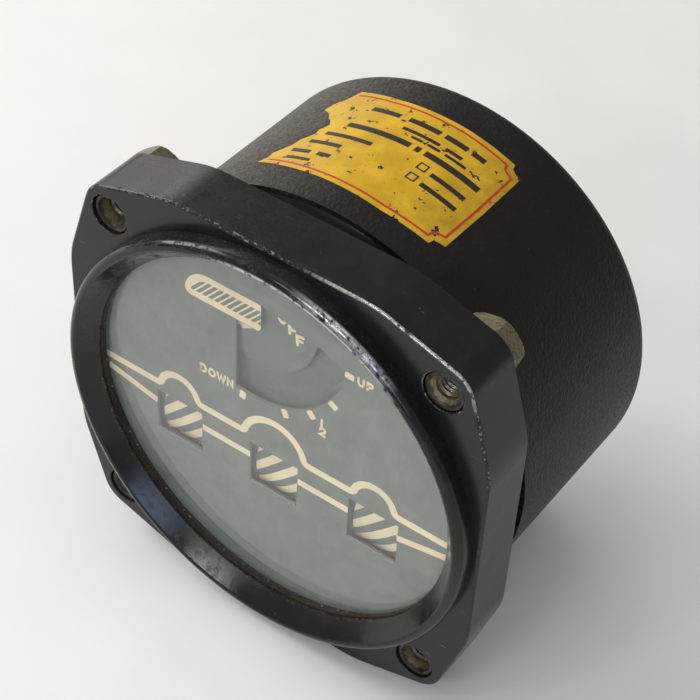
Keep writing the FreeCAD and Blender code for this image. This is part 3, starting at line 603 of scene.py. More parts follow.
def line_sides(path, width, round_ends=False):
    """Pairs of points to the left and right of a path, for a line of even width."""
    points = [Vector(p) for p in path]
    closed = len(points) > 2 and (points[0] - points[-1]).length < 1e-6
    pairs = []
    for i, here in enumerate(points):
        ahead = points[i + 1] if i < len(points) - 1 else (points[1] if closed else None)
        behind = points[i - 1] if i else (points[-2] if closed else None)
        first = (here - behind).normalized() if behind else (ahead - here).normalized()
        second = (ahead - here).normalized() if ahead else first
        along = (first + second).normalized()
        normal = Vector((-along.y, along.x))
        reach = width / 2.0 / max(0.5, normal.dot(Vector((-first.y, first.x))))
        pairs.append((here + normal * reach, here - normal * reach))
    if round_ends and not closed:
        for end, inner in ((0, 1), (-1, -2)):
            outward = (points[end] - points[inner]).normalized()
            middle = (pairs[end][0] + pairs[end][1]) / 2.0
            half = pairs[end][0] - middle
            caps = []
            for degrees in (30.0, 55.0, 78.0):
                angle = math.radians(degrees)
                tip = middle + outward * (math.sin(angle) * width / 2.0)
                caps.append((tip + half * math.cos(angle), tip - half * math.cos(angle)))
            pairs = caps[::-1] + pairs if end == 0 else pairs + caps
    return pairs


def add_line(shape, path, width, low, high, round_ends=False):
    """Adds a closed line of even width along a path between two heights, all in millimetres."""
    rows = []
    for left, right in line_sides(path, width, round_ends):
        corners = ((left, low), (right, low), (right, high), (left, high))
        rows.append([shape.verts.new((spot.x, spot.y, height)) for spot, height in corners])
    for first, second in zip(rows, rows[1:]):
        for i in range(4):
            j = (i + 1) % 4
            shape.faces.new((first[i], first[j], second[j], second[i]))
    shape.faces.new(rows[0][::-1])
    shape.faces.new(rows[-1])


def clip(outline, fence):
    """The part of an outline inside a convex fence, whose corners run anticlockwise."""
    kept = list(outline)
    for i, start in enumerate(fence):
        end = fence[(i + 1) % len(fence)]

        def inside(p):
            return (end[0] - start[0]) * (p[1] - start[1]) - (end[1] - start[1]) * (p[0] - start[0])
        given, kept = kept, []
        for j, here in enumerate(given):
            before = given[j - 1]
            side_here, side_before = inside(here), inside(before)
            if (side_here >= 0.0) != (side_before >= 0.0):
                share = side_before / (side_before - side_here)
                kept.append((before[0] + (here[0] - before[0]) * share,
                             before[1] + (here[1] - before[1]) * share))
            if side_here >= 0.0:
                kept.append(here)
        if len(kept) < 3:
            return []
    return kept


def area(outline):
    return sum(a[0] * b[1] - b[0] * a[1] for a, b in zip(outline, outline[1:] + outline[:1])) / 2.0


def add_slab(shape, outline, low, high):
    """Adds a flat closed plate with the given outline between two heights, all in millimetres."""
    if area(outline) < 0.0:
        outline = outline[::-1]
    top = [shape.verts.new((u, v, high)) for u, v in outline]
    bottom = [shape.verts.new((u, v, low)) for u, v in outline]
    shape.faces.new(top)
    shape.faces.new(bottom[::-1])
    for i in range(len(outline)):
        j = (i + 1) % len(outline)
        shape.faces.new((top[i], bottom[i], bottom[j], top[j]))


def cut_rows(shape, axis, step):
    """Cuts the faces across one axis so that they can follow a round surface."""
    bmesh.ops.triangulate(shape, faces=shape.faces[:])
    low = min(v.co[axis] for v in shape.verts)
    high = max(v.co[axis] for v in shape.verts)
    normal = Vector((0.0, 0.0, 0.0))
    normal[axis] = 1.0
    for k in range(int(math.floor(low / step)) + 1, int(math.ceil(high / step))):
        everything = shape.verts[:] + shape.edges[:] + shape.faces[:]
        bmesh.ops.bisect_plane(shape, geom=everything, dist=1e-5, plane_co=normal * (k * step),
                               plane_no=normal)


def map_points(shape, place=None):
    """Turns millimetres into metres, after laying the points on a surface if one is given."""
    for vert in shape.verts:
        vert.co = Vector(place(*vert.co) if place else vert.co) * MM


def on_plane(face_y):
    """Marks that lie on a plane facing the reader: u is across, v is up, height is towards the reader."""
    return lambda u, v, height: (u, face_y - height, v)


def on_drum(centre_x):
    """Marks that lie round a drum: v runs up round it from its foremost line."""
    def place(u, v, height):
        angle = v / DRUM_R
        reach = DRUM_R + height
        return (centre_x + u, DRUM_Y - reach * math.cos(angle), DRUM_Z + reach * math.sin(angle))
    return place


def on_case(u, v, height):
    """Marks that lie on the case: u runs round it from the top, v towards the rear."""
    angle = u / CAN_R
    return ((CAN_R + height) * math.sin(angle), v, (CAN_R + height) * math.cos(angle))


def painted(name, outlines, place, material, body, slot, low=0.0, film=None, wrap=None, lines=(),
            round_ends=False):
    """Flat marks laid on a surface: filled outlines, and lines as (path, width). For a round surface,
    wrap is the axis across it and the step of its facets."""
    thickness = sizes().paint_film / MM if film is None else film
    shape = bmesh.new()
    for outline in outlines:
        add_slab(shape, outline, low, low + thickness)
    # Strokes that cross end a little above one another, so that no two faces coincide
    for k, (path, width) in enumerate(lines):
        add_line(shape, path, width, low, low + thickness + 0.004 * (k % 3), round_ends)
    bmesh.ops.recalc_face_normals(shape, faces=shape.faces[:])
    if wrap:
        cut_rows(shape, *wrap)
    map_points(shape, place)
    return link_piece(name, finish_mesh(name, shape), material, body)


# Block letters as pen strokes in a box one unit wide and one unit high
LETTER_STROKES = {
    "O": [[(0.5 + 0.5 * math.sin(math.radians(degrees)), 0.5 + 0.5 * math.cos(math.radians(degrees)))
           for degrees in range(0, 361, 15)]],
    "F": [[(1.0, 1.0), (0.0, 1.0), (0.0, 0.0)], [(0.0, 0.5), (0.8, 0.5)]],
    "D": [[(0.0, 0.0), (0.0, 1.0), (0.5, 1.0), (0.86, 0.86),
           (1.0, 0.5), (0.86, 0.14), (0.5, 0.0), (0.0, 0.0)]],
    "W": [[(0.0, 1.0), (0.24, 0.0), (0.5, 0.9), (0.76, 0.0), (1.0, 1.0)]],
    "N": [[(0.0, 0.0), (0.0, 1.0), (1.0, 0.0), (1.0, 1.0)]],
    "U": [[(0.0, 1.0), (0.0, 0.34), (0.15, 0.09), (0.5, 0.0), (0.85, 0.09), (1.0, 0.34), (1.0, 1.0)]],
    "P": [[(0.0, 0.0), (0.0, 1.0), (0.62, 1.0), (0.91, 0.91),
           (1.0, 0.73), (0.91, 0.55), (0.62, 0.46), (0.0, 0.46)]],
    "1": [[(0.0, 1.0), (0.0, 0.0)]],
    "2": [[(0.0, 0.66), (0.12, 0.9), (0.5, 1.0), (0.88, 0.9),
           (0.98, 0.68), (0.85, 0.46), (0.0, 0.0), (1.0, 0.0)]],
}


def letter_lines(letters, pen):
    """Pen strokes of letters, each (letter, centre, height, width, degrees), the pen's width included."""
    lines = []
    for letter, centre, height, width, degrees in letters:
        turn = Matrix.Rotation(math.radians(degrees), 2)
        tall, wide = height - pen, max(width - pen, 0.0)
        for path in LETTER_STROKES[letter]:
            spots = [Vector(centre) + turn @ Vector(((u - 0.5) * wide, (v - 0.5) * tall)) for u, v in path]
            lines.append((spots, pen))
    return lines


def rings(name, rows, steps, centre, material, body, phase=0.0, smooth_degrees=32.0):
    """A closed turned piece about an axis along Y. Each row is y and a radius, or y and a function that
    gives the radius by the angle."""
    shape = bmesh.new()
    made = []
    for y, radius in rows:
        ring = []
        for k in range(steps):
            angle = 2.0 * math.pi * k / steps
            reach = radius(angle) if callable(radius) else radius
            ring.append(shape.verts.new((centre[0] + reach * math.cos(angle + phase), y,
                                         centre[1] + reach * math.sin(angle + phase))))
        made.append(ring)
    for first, second in zip(made, made[1:] + made[:1]):
        for k in range(steps):
            j = (k + 1) % steps
            shape.faces.new((first[k], first[j], second[j], second[k]))
    bmesh.ops.recalc_face_normals(shape, faces=shape.faces[:])
    map_points(shape)
    return link_piece(name, finish_mesh(name, shape, smooth_degrees), material, body)


# Cream marks of the dial
SKYLINE_Z = -2.3
SKYLINE_FILLET = 1.0
ARCHES = [(-19.9, -2.6, 4.0), (0.0, -3.16, 6.2), (19.9, -2.6, 4.0)]
DIAL_EDGE = 35.85


def skyline():
    """The upper line, from the left edge to the right, with a round arch over each wheel window."""
    path = [(-DIAL_EDGE, SKYLINE_Z)]
    for centre_x, centre_z, radius in ARCHES:
        rise = SKYLINE_Z - centre_z + SKYLINE_FILLET
        reach = math.sqrt((radius + SKYLINE_FILLET) ** 2 - rise ** 2)
        lean = math.degrees(math.atan2(rise, reach))
        foot_z = SKYLINE_Z + SKYLINE_FILLET
        path += arc((centre_x - reach, foot_z), SKYLINE_FILLET, -90.0, -lean, 6)
        path += arc((centre_x, centre_z), radius, 180.0 - lean, lean, 26)[1:-1]
        path += arc((centre_x + reach, foot_z), SKYLINE_FILLET, 180.0 + lean, 270.0, 6)
    path.append((DIAL_EDGE, SKYLINE_Z))
    return path


# Where the bars may lie on the wing symbol
WING_FENCE = [(-16.85, 22.88), (-3.05, 22.88), (-3.05, 25.72), (-13.9, 25.72), (-15.2, 25.15),
              (-16.2, 24.3), (-16.75, 23.4)]


def wing_outline():
    """The wing symbol, round at its nose and square at the tongue's edge."""
    return (arc((-13.5, 22.35), 4.62, 90.0, 175.0, 12) + arc((-16.9, 22.75), 1.22, 184.0, 270.0, 6)
            + arc((-3.8, 22.25), 0.75, -90.0, 0.0, 6) + [(-3.05, 26.75), (-3.3, 26.97)])


WING_BARS = {"count": 14, "first": -18.33, "pitch": 1.21, "width": 0.8, "lean": 2.5}
SMALLEST_BAR = 0.15


def wing_bars():
    """Slanting dark bars across the wing symbol."""
    width, lean = WING_BARS["width"], WING_BARS["lean"]
    low, high = WING_FENCE[0][1], WING_FENCE[2][1]
    bars = []
    for k in range(WING_BARS["count"]):
        x = WING_BARS["first"] + WING_BARS["pitch"] * k
        bar = clip([(x, low), (x + width, low), (x + width + lean, high), (x + lean, high)], WING_FENCE)
        if bar and abs(area(bar)) > SMALLEST_BAR:
            bars.append(bar)
    return bars


BELLY_LINES = [[(-14.9, -7.15), (-4.9, -7.15)], [(5.0, -7.15), (15.1, -7.15)],
               [(-24.8, -6.9), (-35.4, -4.75)], [(24.7, -7.0), (35.4, -4.85)]]
# Marks of the flap scale: where they stand about the pointer's shaft, and half their length and width
TICK_DEGREES = (-5.6, -32.0, -51.0, -69.3, -96.2)
TICK_RADIUS = 18.5
TICK_HALF = (0.85, 0.6)
TICK_CORNER_R = 0.22
DIAL_PEN = 0.43
DIAL_LETTERS = [
    ("D", (-14.6, 6.8), 1.95, 1.5, 0.0), ("O", (-12.82, 6.8), 1.95, 1.6, 0.0),
    ("W", (-10.9, 6.8), 1.95, 2.0, 0.0), ("N", (-9.07, 6.8), 1.95, 1.4, 0.0),
    ("U", (16.0, 22.25), 1.85, 1.4, 0.0), ("P", (17.68, 22.25), 1.85, 1.3, 0.0),
    ("1", (9.2, 9.15), 1.95, 0.4, 0.0), ("2", (9.42, 7.35), 2.0, 1.45, -3.0)]


def flap_ticks():
    """The five marks of the flap scale, with round corners."""
    ticks = []
    for degrees in TICK_DEGREES:
        turn = Matrix.Rotation(math.radians(degrees), 2)
        corners = []
        for along, aside in ((-1, -1), (1, -1), (1, 1), (-1, 1)):
            spot = turn @ Vector((TICK_RADIUS + along * TICK_HALF[0], aside * TICK_HALF[1]))
            corners.append((PIVOT[0] + spot.x, PIVOT[1] + spot.y, TICK_CORNER_R))
        ticks.append(rounded(corners, 4))
    return ticks


def dial_marks(cream, ground):
    """Everything that is painted on the dial plate."""
    face = on_plane(DIAL_FACE)

    def mark(name, outlines, paint=cream, **more):
        painted(name, outlines, face, paint, "instrument", "dial_grey", **more)

    mark("dial_skyline", [], lines=[(skyline(), sizes().outline_width / MM)])
    belly = sizes().belly_width / MM
    mark("dial_belly_lines", [], lines=[(path, belly) for path in BELLY_LINES])
    mark("dial_wing", [wing_outline()])
    film = sizes().paint_film / MM
    mark("dial_wing_bars", wing_bars(), ground, low=film, film=film * 0.5)
    mark("dial_flap_ticks", flap_ticks())
    mark("dial_words", [], lines=letter_lines(DIAL_LETTERS, DIAL_PEN), round_ends=True)


# The flap on the pointer: which way it lies at rest, and one long edge as distance from the shaft and from
# its middle line
VANE_DEGREES = 208.0
FLAP_EDGE = [(1.4, 3.3), (5.3, 3.3), (5.5, 2.55), (14.9, 1.42), (15.75, 0.95), (15.95, 0.0)]
# Dark bars across it, which follow its taper
FLAP_BARS = {"count": 9, "first": 5.9, "pitch": 1.02, "width": 0.52, "lean": 0.4, "half": 1.75,
             "taper": 0.115}
OFF_LETTERS = [("O", (0.0, 25.2), 2.4, 1.75, 3.0), ("F", (2.05, 23.85), 2.35, 1.75, 5.0),
               ("F", (3.55, 22.35), 2.35, 1.75, 6.0)]
OFF_PEN = 0.58


def vane_spot(along, aside):
    turned = Matrix.Rotation(math.radians(VANE_DEGREES), 2) @ Vector((along, aside))
    return (PIVOT[0] + turned.x, PIVOT[1] + turned.y)


def flap_bars():
    width, lean = FLAP_BARS["width"], FLAP_BARS["lean"]
    bars = []
    for k in range(FLAP_BARS["count"]):
        start = FLAP_BARS["first"] + FLAP_BARS["pitch"] * k
        half = FLAP_BARS["half"] - FLAP_BARS["taper"] * (start - FLAP_BARS["first"])
        bars.append([vane_spot(start, -half), vane_spot(start + width, -half),
                     vane_spot(start + width + lean, half), vane_spot(start + lean, half)])
    return bars


def pointer_marks(cream, ground):
    """The cream flap on the pointer, and its warning word on the disc."""
    face = on_plane(DISC_FACE)

    def mark(name, outlines, paint=cream, **more):
        painted(name, outlines, face, paint, "flap_rotor", "dial_grey", **more)

    other_edge = [(along, -aside) for along, aside in FLAP_EDGE[-2::-1]]
    mark("pointer_flap", [[vane_spot(*spot) for spot in FLAP_EDGE + other_edge]])
    film = sizes().paint_film / MM
    mark("pointer_flap_bars", flap_bars(), ground, low=film, film=film * 0.5)
    mark("pointer_word_off", [], lines=letter_lines(OFF_LETTERS, OFF_PEN), round_ends=True)


# Drums: where the first stripe starts, the arc from the stripes to the picture or the word, half the height
# of the striped field, and how far its sides stay off the drum's ends
STRIPE_SHIFT = {"left": -1.33, "nose": -0.95, "right": -0.3}
PICTURE_ARC = math.radians(80.0)
STRIPES_HALF = 7.2
STRIPES_INSET = 0.5
SMALLEST_STRIPE = 0.2
DRUM_WRAP = (1, 0.4)
# Letters stand as far from the drum's rest as the picture does, on the other side
UP_LETTERS = [("U", (-1.75, -PICTURE_ARC * DRUM_R), 3.9, 2.75, 0.0),
              ("P", (1.85, -PICTURE_ARC * DRUM_R), 3.9, 2.75, 0.0)]
UP_PEN = 0.72


def drum_stripes(name):
    """The slanting stripes that show while a drum rests."""
    half = DRUM_HALF - STRIPES_INSET
    pitch, width = sizes().stripe_pitch / MM, sizes().stripe_width / MM
    reach = STRIPES_HALF
    fence = [(-half, -reach), (half, -reach), (half, reach), (-half, reach)]
    stripes = []
    for k in range(-4, 5):
        start = STRIPE_SHIFT[name] + pitch * k
        stripe = clip([(start - reach, -reach), (start + width - reach, -reach),
                       (start + width + reach, reach), (start + reach, reach)], fence)
        if stripe and abs(area(stripe)) > SMALLEST_STRIPE:
            stripes.append(stripe)
    return stripes


def drum_marks(name, cream, ground):
    """Stripes where the drum rests, a wheel above them and the word UP below."""
    place = on_drum(DRUM_X[name])
    film = sizes().paint_film / MM

    def mark(what, outlines, paint=cream, **more):
        painted("drum_%s_%s" % (name, what), outlines, place, paint, "wheel_" + name, "drum_paint",
                wrap=DRUM_WRAP, **more)

    def disc(radius, end, steps):
        return [(u, v + PICTURE_ARC * DRUM_R) for u, v in arc((0.0, 0.0), radius, 0.0, end, steps)]

    mark("stripes", drum_stripes(name))
    mark("wheel", [disc(4.1, 350.0, 35)])
    mark("wheel_rim", [disc(2.7, 345.0, 23)], ground, low=film, film=film * 0.5)
    mark("wheel_hub", [disc(0.95, 340.0, 17)], low=film * 1.5, film=film * 0.5)
    mark("word_up", [], lines=letter_lines(UP_LETTERS, UP_PEN))


# Label on the case: corners as degrees round it from the top, and millimetres towards the rear
LABEL_EDGE = [(-28.1, 21.4), (-21.0, 20.8), (-14.2, 20.4), (-2.5, 19.9), (8.7, 19.5), (21.6, 20.1),
              (21.9, 21.2), (23.3, 21.6), (24.7, 21.8), (25.0, 32.0), (24.9, 42.8), (23.4, 43.0),
              (22.0, 43.5), (21.6, 44.5), (8.0, 44.7), (-0.1, 44.7), (-11.5, 44.8), (-23.6, 45.6),
              (-25.4, 42.6), (-27.4, 41.2), (-28.2, 39.3), (-25.2, 37.9), (-23.4, 36.2), (-22.2, 35.6),
              (-20.7, 34.1), (-21.9, 32.4), (-21.5, 31.0), (-23.7, 28.8), (-24.0, 27.3), (-25.5, 25.5),
              (-26.9, 24.4), (-26.6, 22.9)]
LABEL_BORDER = [(-25.6, 22.2), (-14.2, 21.5), (-2.5, 21.05), (8.7, 20.7), (20.2, 21.2), (20.6, 22.4),
                (21.8, 22.9), (23.2, 23.2), (23.5, 32.0), (23.4, 41.6), (22.0, 41.9), (20.8, 42.3),
                (20.3, 43.3), (8.0, 43.6), (-0.1, 43.6), (-11.5, 43.7), (-23.0, 44.3)]
BORDER_FILM = 0.015
PRINT_FILM = 0.012
LABEL_WRAP = (0, 0.7)
# Two small boxes: their places, their corners about those, and the width of their lines
BOX_SPOTS = [(7.6, 28.9), (7.6, 31.9)]
BOX_CORNERS = [(-0.75, -0.6), (0.75, -0.6), (0.75, 0.9), (-0.75, 0.9), (-0.75, -0.6)]
BOX_LINE = 0.28
# Plain rules where the label's lines stand: distance towards the rear, height, and their ends in degrees
LABEL_WORDS = [
    (40.7, 1.15, [(-15.0, -7.0), (-4.6, 4.0), (5.4, 11.6), (13.0, 16.6)]),
    (38.2, 0.75, [(-4.0, 6.2), (7.8, 12.4)]),
    (35.0, 1.3, [(-16.2, 1.2), (2.6, 4.0), (5.2, 20.4)]),
    (37.0, 0.6, [(-0.5, 2.6), (4.0, 7.4), (8.8, 14.6)]),
    (31.6, 1.0, [(-19.0, -6.0)]), (31.6, 1.0, [(10.2, 19.8)]),
    (28.7, 1.0, [(-20.6, -11.6)]), (28.7, 1.0, [(10.2, 20.2)]),
    (25.6, 1.0, [(-22.4, -17.0), (-15.0, -11.4)]), (23.4, 0.8, [(-21.8, -14.8)]),
]


def case_spot(degrees, depth):
    return (math.radians(degrees) * CAN_R, depth)


def case_label(yellow, red, black):
    """The film of the label, its border rule, and plain ruled lines and boxes in place of any print."""
    label_film = sizes().label_film / MM

    def lay(name, outlines, paint, **more):
        painted(name, outlines, on_case, paint, "instrument", "black_crackle", wrap=LABEL_WRAP, **more)

    lay("case_label_film", [[case_spot(*spot) for spot in LABEL_EDGE]], yellow, film=label_film)
    border = [case_spot(*spot) for spot in LABEL_BORDER]
    lay("case_label_border", [], red, low=label_film, film=BORDER_FILM,
        lines=[(border, sizes().rule_width / MM)])
    ruled = []
    for depth, height, words in LABEL_WORDS:
        for start, end in words:
            ruled.append(([case_spot(start, depth), case_spot(end, depth)], height))
    for spot in BOX_SPOTS:
        u, v = case_spot(*spot)
        ruled.append(([(u + aside, v + along) for aside, along in BOX_CORNERS], BOX_LINE))
    lay("case_label_rules", [], black, low=label_film, film=PRINT_FILM, lines=ruled)


# Each insert, upper right first and then round: depth of its face behind the flange's front, depth of its
# countersink, and how far its head is turned
INSERT_FACES = [(0.35, 0.95, 12.0), (0.55, 1.9, 35.0), (0.45, 1.5, 58.0), (0.5, 1.5, 81.0)]
BORE_R = 1.98
HEAD_FLATS = 9.5
INSERT_STEPS = 72
INSERT_SMOOTH = 24.0
# The thread: its crest, its end, facets to a turn, half its foot as a share of the pitch, how deep its foot
# goes into the bore's wall, and how far behind the countersink it starts
THREAD_CREST_R = 1.62
THREAD_END = 11.5
THREAD_STEPS = 28
THREAD_HALF = 0.42
THREAD_ROOT = 0.02
THREAD_LEAD = 0.25


def insert_thread(centre, start, material, number):
    """A thread cut in an insert, as a ridge that winds round the bore."""
    pitch = sizes().thread_pitch / MM
    root = BORE_R + THREAD_ROOT
    profile = ((root, -pitch * THREAD_HALF), (THREAD_CREST_R, 0.0), (root, pitch * THREAD_HALF))
    shape = bmesh.new()
    before = None
    for k in range(int((THREAD_END - start) / pitch * THREAD_STEPS) + 1):
        angle = 2.0 * math.pi * k / THREAD_STEPS
        y = start + pitch * k / THREAD_STEPS
        ring = []
        for radius, shift in profile:
            ring.append(shape.verts.new((centre[0] + radius * math.cos(angle), y + shift,
                                         centre[1] + radius * math.sin(angle))))
        if before:
            for i in range(3):
                j = (i + 1) % 3
                shape.faces.new((before[i], before[j], ring[j], ring[i]))
        else:
            shape.faces.new(ring)
        before = ring
    shape.faces.new(before[::-1])
    bmesh.ops.recalc_face_normals(shape, faces=shape.faces[:])
    map_points(shape)
    name = "insert_thread_%d" % number
    return link_piece(name, finish_mesh(name, shape), material, "instrument")


def hexagon(corner_r):
    """The reach of a six-sided head whose corners are turned down to a radius, by the angle."""
    def reach(angle):
        return min(corner_r, HEAD_FLATS / 2.0 / math.cos(angle % (math.pi / 3.0) - math.pi / 6.0))
    return reach


def insert_rows(face, sink):
    """The profile of an insert: countersink, face and rim in front, chamfered head behind."""
    head_low = FLANGE_BACK + 0.02
    head_high = side("mount_inserts", 1, 1)
    return [(face + sink, BORE_R), (face + sink - 0.12, BORE_R + 0.03), (face + 0.06, 2.78), (face, 2.88),
            (face, 3.3), (face + 0.16, 3.44), (head_low - 0.02, 3.46), (head_low, hexagon(5.0)),
            (head_low + 0.18, hexagon(5.6)), (head_high - 1.25, hexagon(5.6)),
            (head_high - 0.75, hexagon(5.33)), (head_high - 0.32, hexagon(4.98)),
            (head_high - 0.06, hexagon(4.55)), (head_high, 4.3), (head_high, 2.3),
            (head_high - 0.4, BORE_R)]


def mounting_inserts(brass, bore_metal):
    """Four threaded inserts: countersunk face in front, chamfered six-sided head behind."""
    corners = ((1, 1), (-1, 1), (-1, -1), (1, -1))
    for number, (sx, sz) in enumerate(corners, 1):
        centre = (sx * HOLE_OFFSET, sz * HOLE_OFFSET)
        face, sink, turned = INSERT_FACES[number - 1]
        name = "mount_insert_%d" % number
        rings(name, insert_rows(face, sink), INSERT_STEPS, centre, brass, "instrument",
                            math.radians(turned), INSERT_SMOOTH)
        insert_thread(centre, face + sink + THREAD_LEAD, bore_metal, number)
    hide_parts("mount_inserts")


# Crumbs that stand out, as degrees round the glass and size
LARGE_CRUMBS = [(103.0, 0.62), (101.0, 0.4), (46.0, 0.75), (44.0, 0.55), (48.5, 0.4), (27.0, 0.45),
                (98.0, 0.3)]
CRUMB_INSET = 1.95


def sealant_crumbs(material):
    """Dried crumbs of sealant where the glass meets the bezel, most of them at the upper right."""
    draw = random.Random(11)
    crumbs = list(LARGE_CRUMBS)
    # Smaller ones, most of them about the upper right and the rest along the other sides
    for _ in range(60):
        crumbs.append((draw.gauss(72.0, 34.0), draw.uniform(0.1, 0.26)))
    for _ in range(34):
        crumbs.append((draw.uniform(150.0, 400.0), draw.uniform(0.08, 0.2)))
    shape = bmesh.new()
    for degrees, size in crumbs:
        made = bmesh.ops.create_icosphere(shape, subdivisions=2, radius=1.0)["verts"]
        x, z = polar(GLASS_RING_R - CRUMB_INSET - size * 0.2 + draw.uniform(-0.1, 0.05), degrees)
        y = GLASS_FACE - 0.03 - size * 0.3
        squash = Vector((size * draw.uniform(0.7, 1.2), size * 0.55, size * draw.uniform(0.7, 1.2)))
        for vert in made:
            lump = 1.0 + 0.22 * math.sin(7.0 * vert.co.x + degrees) * math.cos(6.0 * vert.co.z - degrees)
            vert.co = Vector((x + vert.co.x * squash.x * lump, y + vert.co.y * squash.y * lump,
                              z + vert.co.z * squash.z * lump))
    map_points(shape)
    mesh = finish_mesh("glass_sealant_crumbs", shape, 80.0)
    return link_piece("glass_sealant_crumbs", mesh, material, "instrument")


def dress(node, material):
    """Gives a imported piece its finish."""
    piece = NODES[node]
    for slot in piece.material_slots:
        slot.material = material


class INDICATOR_OT_bezel(bpy.types.Operator):
    """Enamels the bezel casting and the ring that holds the glass"""

    bl_idname = "indicator.bezel"
    bl_label = "Bezel"

    def execute(self, context):
        dress("bezel_flange", enamel_finish())
        ring = mottled("ring_worn", linear(44, 38, 28), 0.4, 1.1, (0.35, 0.6), 0.03, 3.0, 0.2,
                       linear(126, 104, 58), 0.07)
        dress("glass_ring", ring)
        sealant_crumbs(mottled("sealant_dry", linear(132, 132, 116), 0.25, 1.8, (0.6, 0.8), 0.05, 5.0))
        return {"FINISHED"}


class INDICATOR_OT_glass(bpy.types.Operator):
    """Clears the cover glass and finishes its gasket"""

    bl_idname = "indicator.glass"
    bl_label = "Cover glass"

    def execute(self, context):
        dress("cover_glass", glass_finish())
        dress("glass_gasket", mottled("gasket_rubber", linear(34, 34, 33), 0.3, 1.5, (0.7, 0.9), 0.03, 3.0))
        return {"FINISHED"}


class INDICATOR_OT_dial(bpy.types.Operator):
    """Paints the dial, its marks and the plate behind its windows"""

    bl_idname = "indicator.dial"
    bl_label = "Dial"

    def execute(self, context):
        # The dial and the window ground are lighter behind the dial's face at the wheel windows: painted
        # light against the shade there
        dial = paint_finish("dial_grey_paint", colours().dial, 0.115, recess_painted_light=1.25)
        ground = paint_finish("ground_grey_paint", colours().ground, recess_painted_light=3.2)
        cream = paint_finish("cream_paint", colours().cream, 0.05, colours().dial)
        dress("dial_plate", dial)
        dress("front_plate", ground)
        dress("dial_spacer", mottled("spacer_black", linear(30, 30, 30), 0.3, 1.0, (0.5, 0.7), 0.02))
        dial_marks(cream, dial)
        return {"FINISHED"}


class INDICATOR_OT_pointer(bpy.types.Operator):
    """Paints the flap pointer, its flap and its letters"""

    bl_idname = "indicator.pointer"
    bl_label = "Flap pointer"

    def execute(self, context):
        disc = paint_finish("pointer_grey_paint", colours().ground)
        cream = paint_finish("pointer_cream_paint", colours().cream, 0.05, colours().dial)
        dress("flap_pointer", disc)
        pointer_marks(cream, disc)
        return {"FINISHED"}


class INDICATOR_OT_drums(bpy.types.Operator):
    """Paints the three wheel drums with their stripes, wheels and words"""

    bl_idname = "indicator.drums"
    bl_label = "Wheel drums"

    def execute(self, context):
        drum = paint_finish("drum_grey_paint", colours().ground)
        cream = paint_finish("drum_cream_paint", colours().cream, 0.05, colours().dial)
        for name in DRUM_X:
            dress("drum_" + name, drum)
            drum_marks(name, cream, drum)
        return {"FINISHED"}


class INDICATOR_OT_case(bpy.types.Operator):
    """Paints the case and lays the label on it"""

    bl_idname = "indicator.case"
    bl_label = "Case and label"

    def execute(self, context):
        dress("case_can", case_finish())
        red = mottled("label_red", colours().border, 0.2, 1.2, (0.4, 0.55), 0.01, 3.0, 0.0,
                      linear(150, 96, 30), 0.03)
        black = mottled("label_black", linear(40, 32, 22), 0.3, 1.2, (0.4, 0.55), 0.01, 3.0, 0.0,
                        linear(120, 92, 30), 0.04)
        case_label(label_finish(), red, black)
        return {"FINISHED"}


class INDICATOR_OT_inserts(bpy.types.Operator):
    """Builds the four threaded mounting inserts"""

    bl_idname = "indicator.inserts"
    bl_label = "Mounting inserts"

    def execute(self, context):
        brass = tarnished_brass("insert_tarnish", colours().tarnish, linear(152, 138, 104), 0.75)
        bore = tarnished_brass("insert_bore", linear(96, 88, 70), linear(176, 166, 142), 0.35, (0.22, 0.42))
        mounting_inserts(brass, bore)
        return {"FINISHED"}


class INDICATOR_OT_receptacle(bpy.types.Operator):
    """Finishes the rear receptacle, its seal, screws and pins"""

    bl_idname = "indicator.receptacle"
    bl_label = "Rear receptacle"

    def execute(self, context):
        alloy = mottled("receptacle_dull", linear(120, 118, 100), 0.18, 0.7, (0.42, 0.62), 0.03, 3.0, 0.75,
                        linear(84, 80, 58), 0.06)
        dress("receptacle_shell", alloy)
        rubber = mottled("rear_seal_rubber", linear(38, 37, 35), 0.3, 1.2, (0.7, 0.9), 0.04, 3.0)
        dress("receptacle_gasket", rubber)
        phenolic = mottled("insert_phenolic", linear(70, 44, 28), 0.25, 0.9, (0.35, 0.5), 0.02, 3.0)
        dress("receptacle_insert", phenolic)
        silver = mottled("pins_silver", linear(190, 184, 168), 0.15, 1.5, (0.25, 0.4), 0.01, 5.0, 1.0)
        dress("receptacle_pins", silver)
        steel = mottled("screws_plated", linear(128, 124, 112), 0.25, 1.4, (0.3, 0.5), 0.02, 4.0, 0.9,
                        linear(84, 66, 44), 0.05)
        for node in ("receptacle_screws", "receptacle_nuts", "case_screws"):
            dress(node, steel)
        return {"FINISHED"}


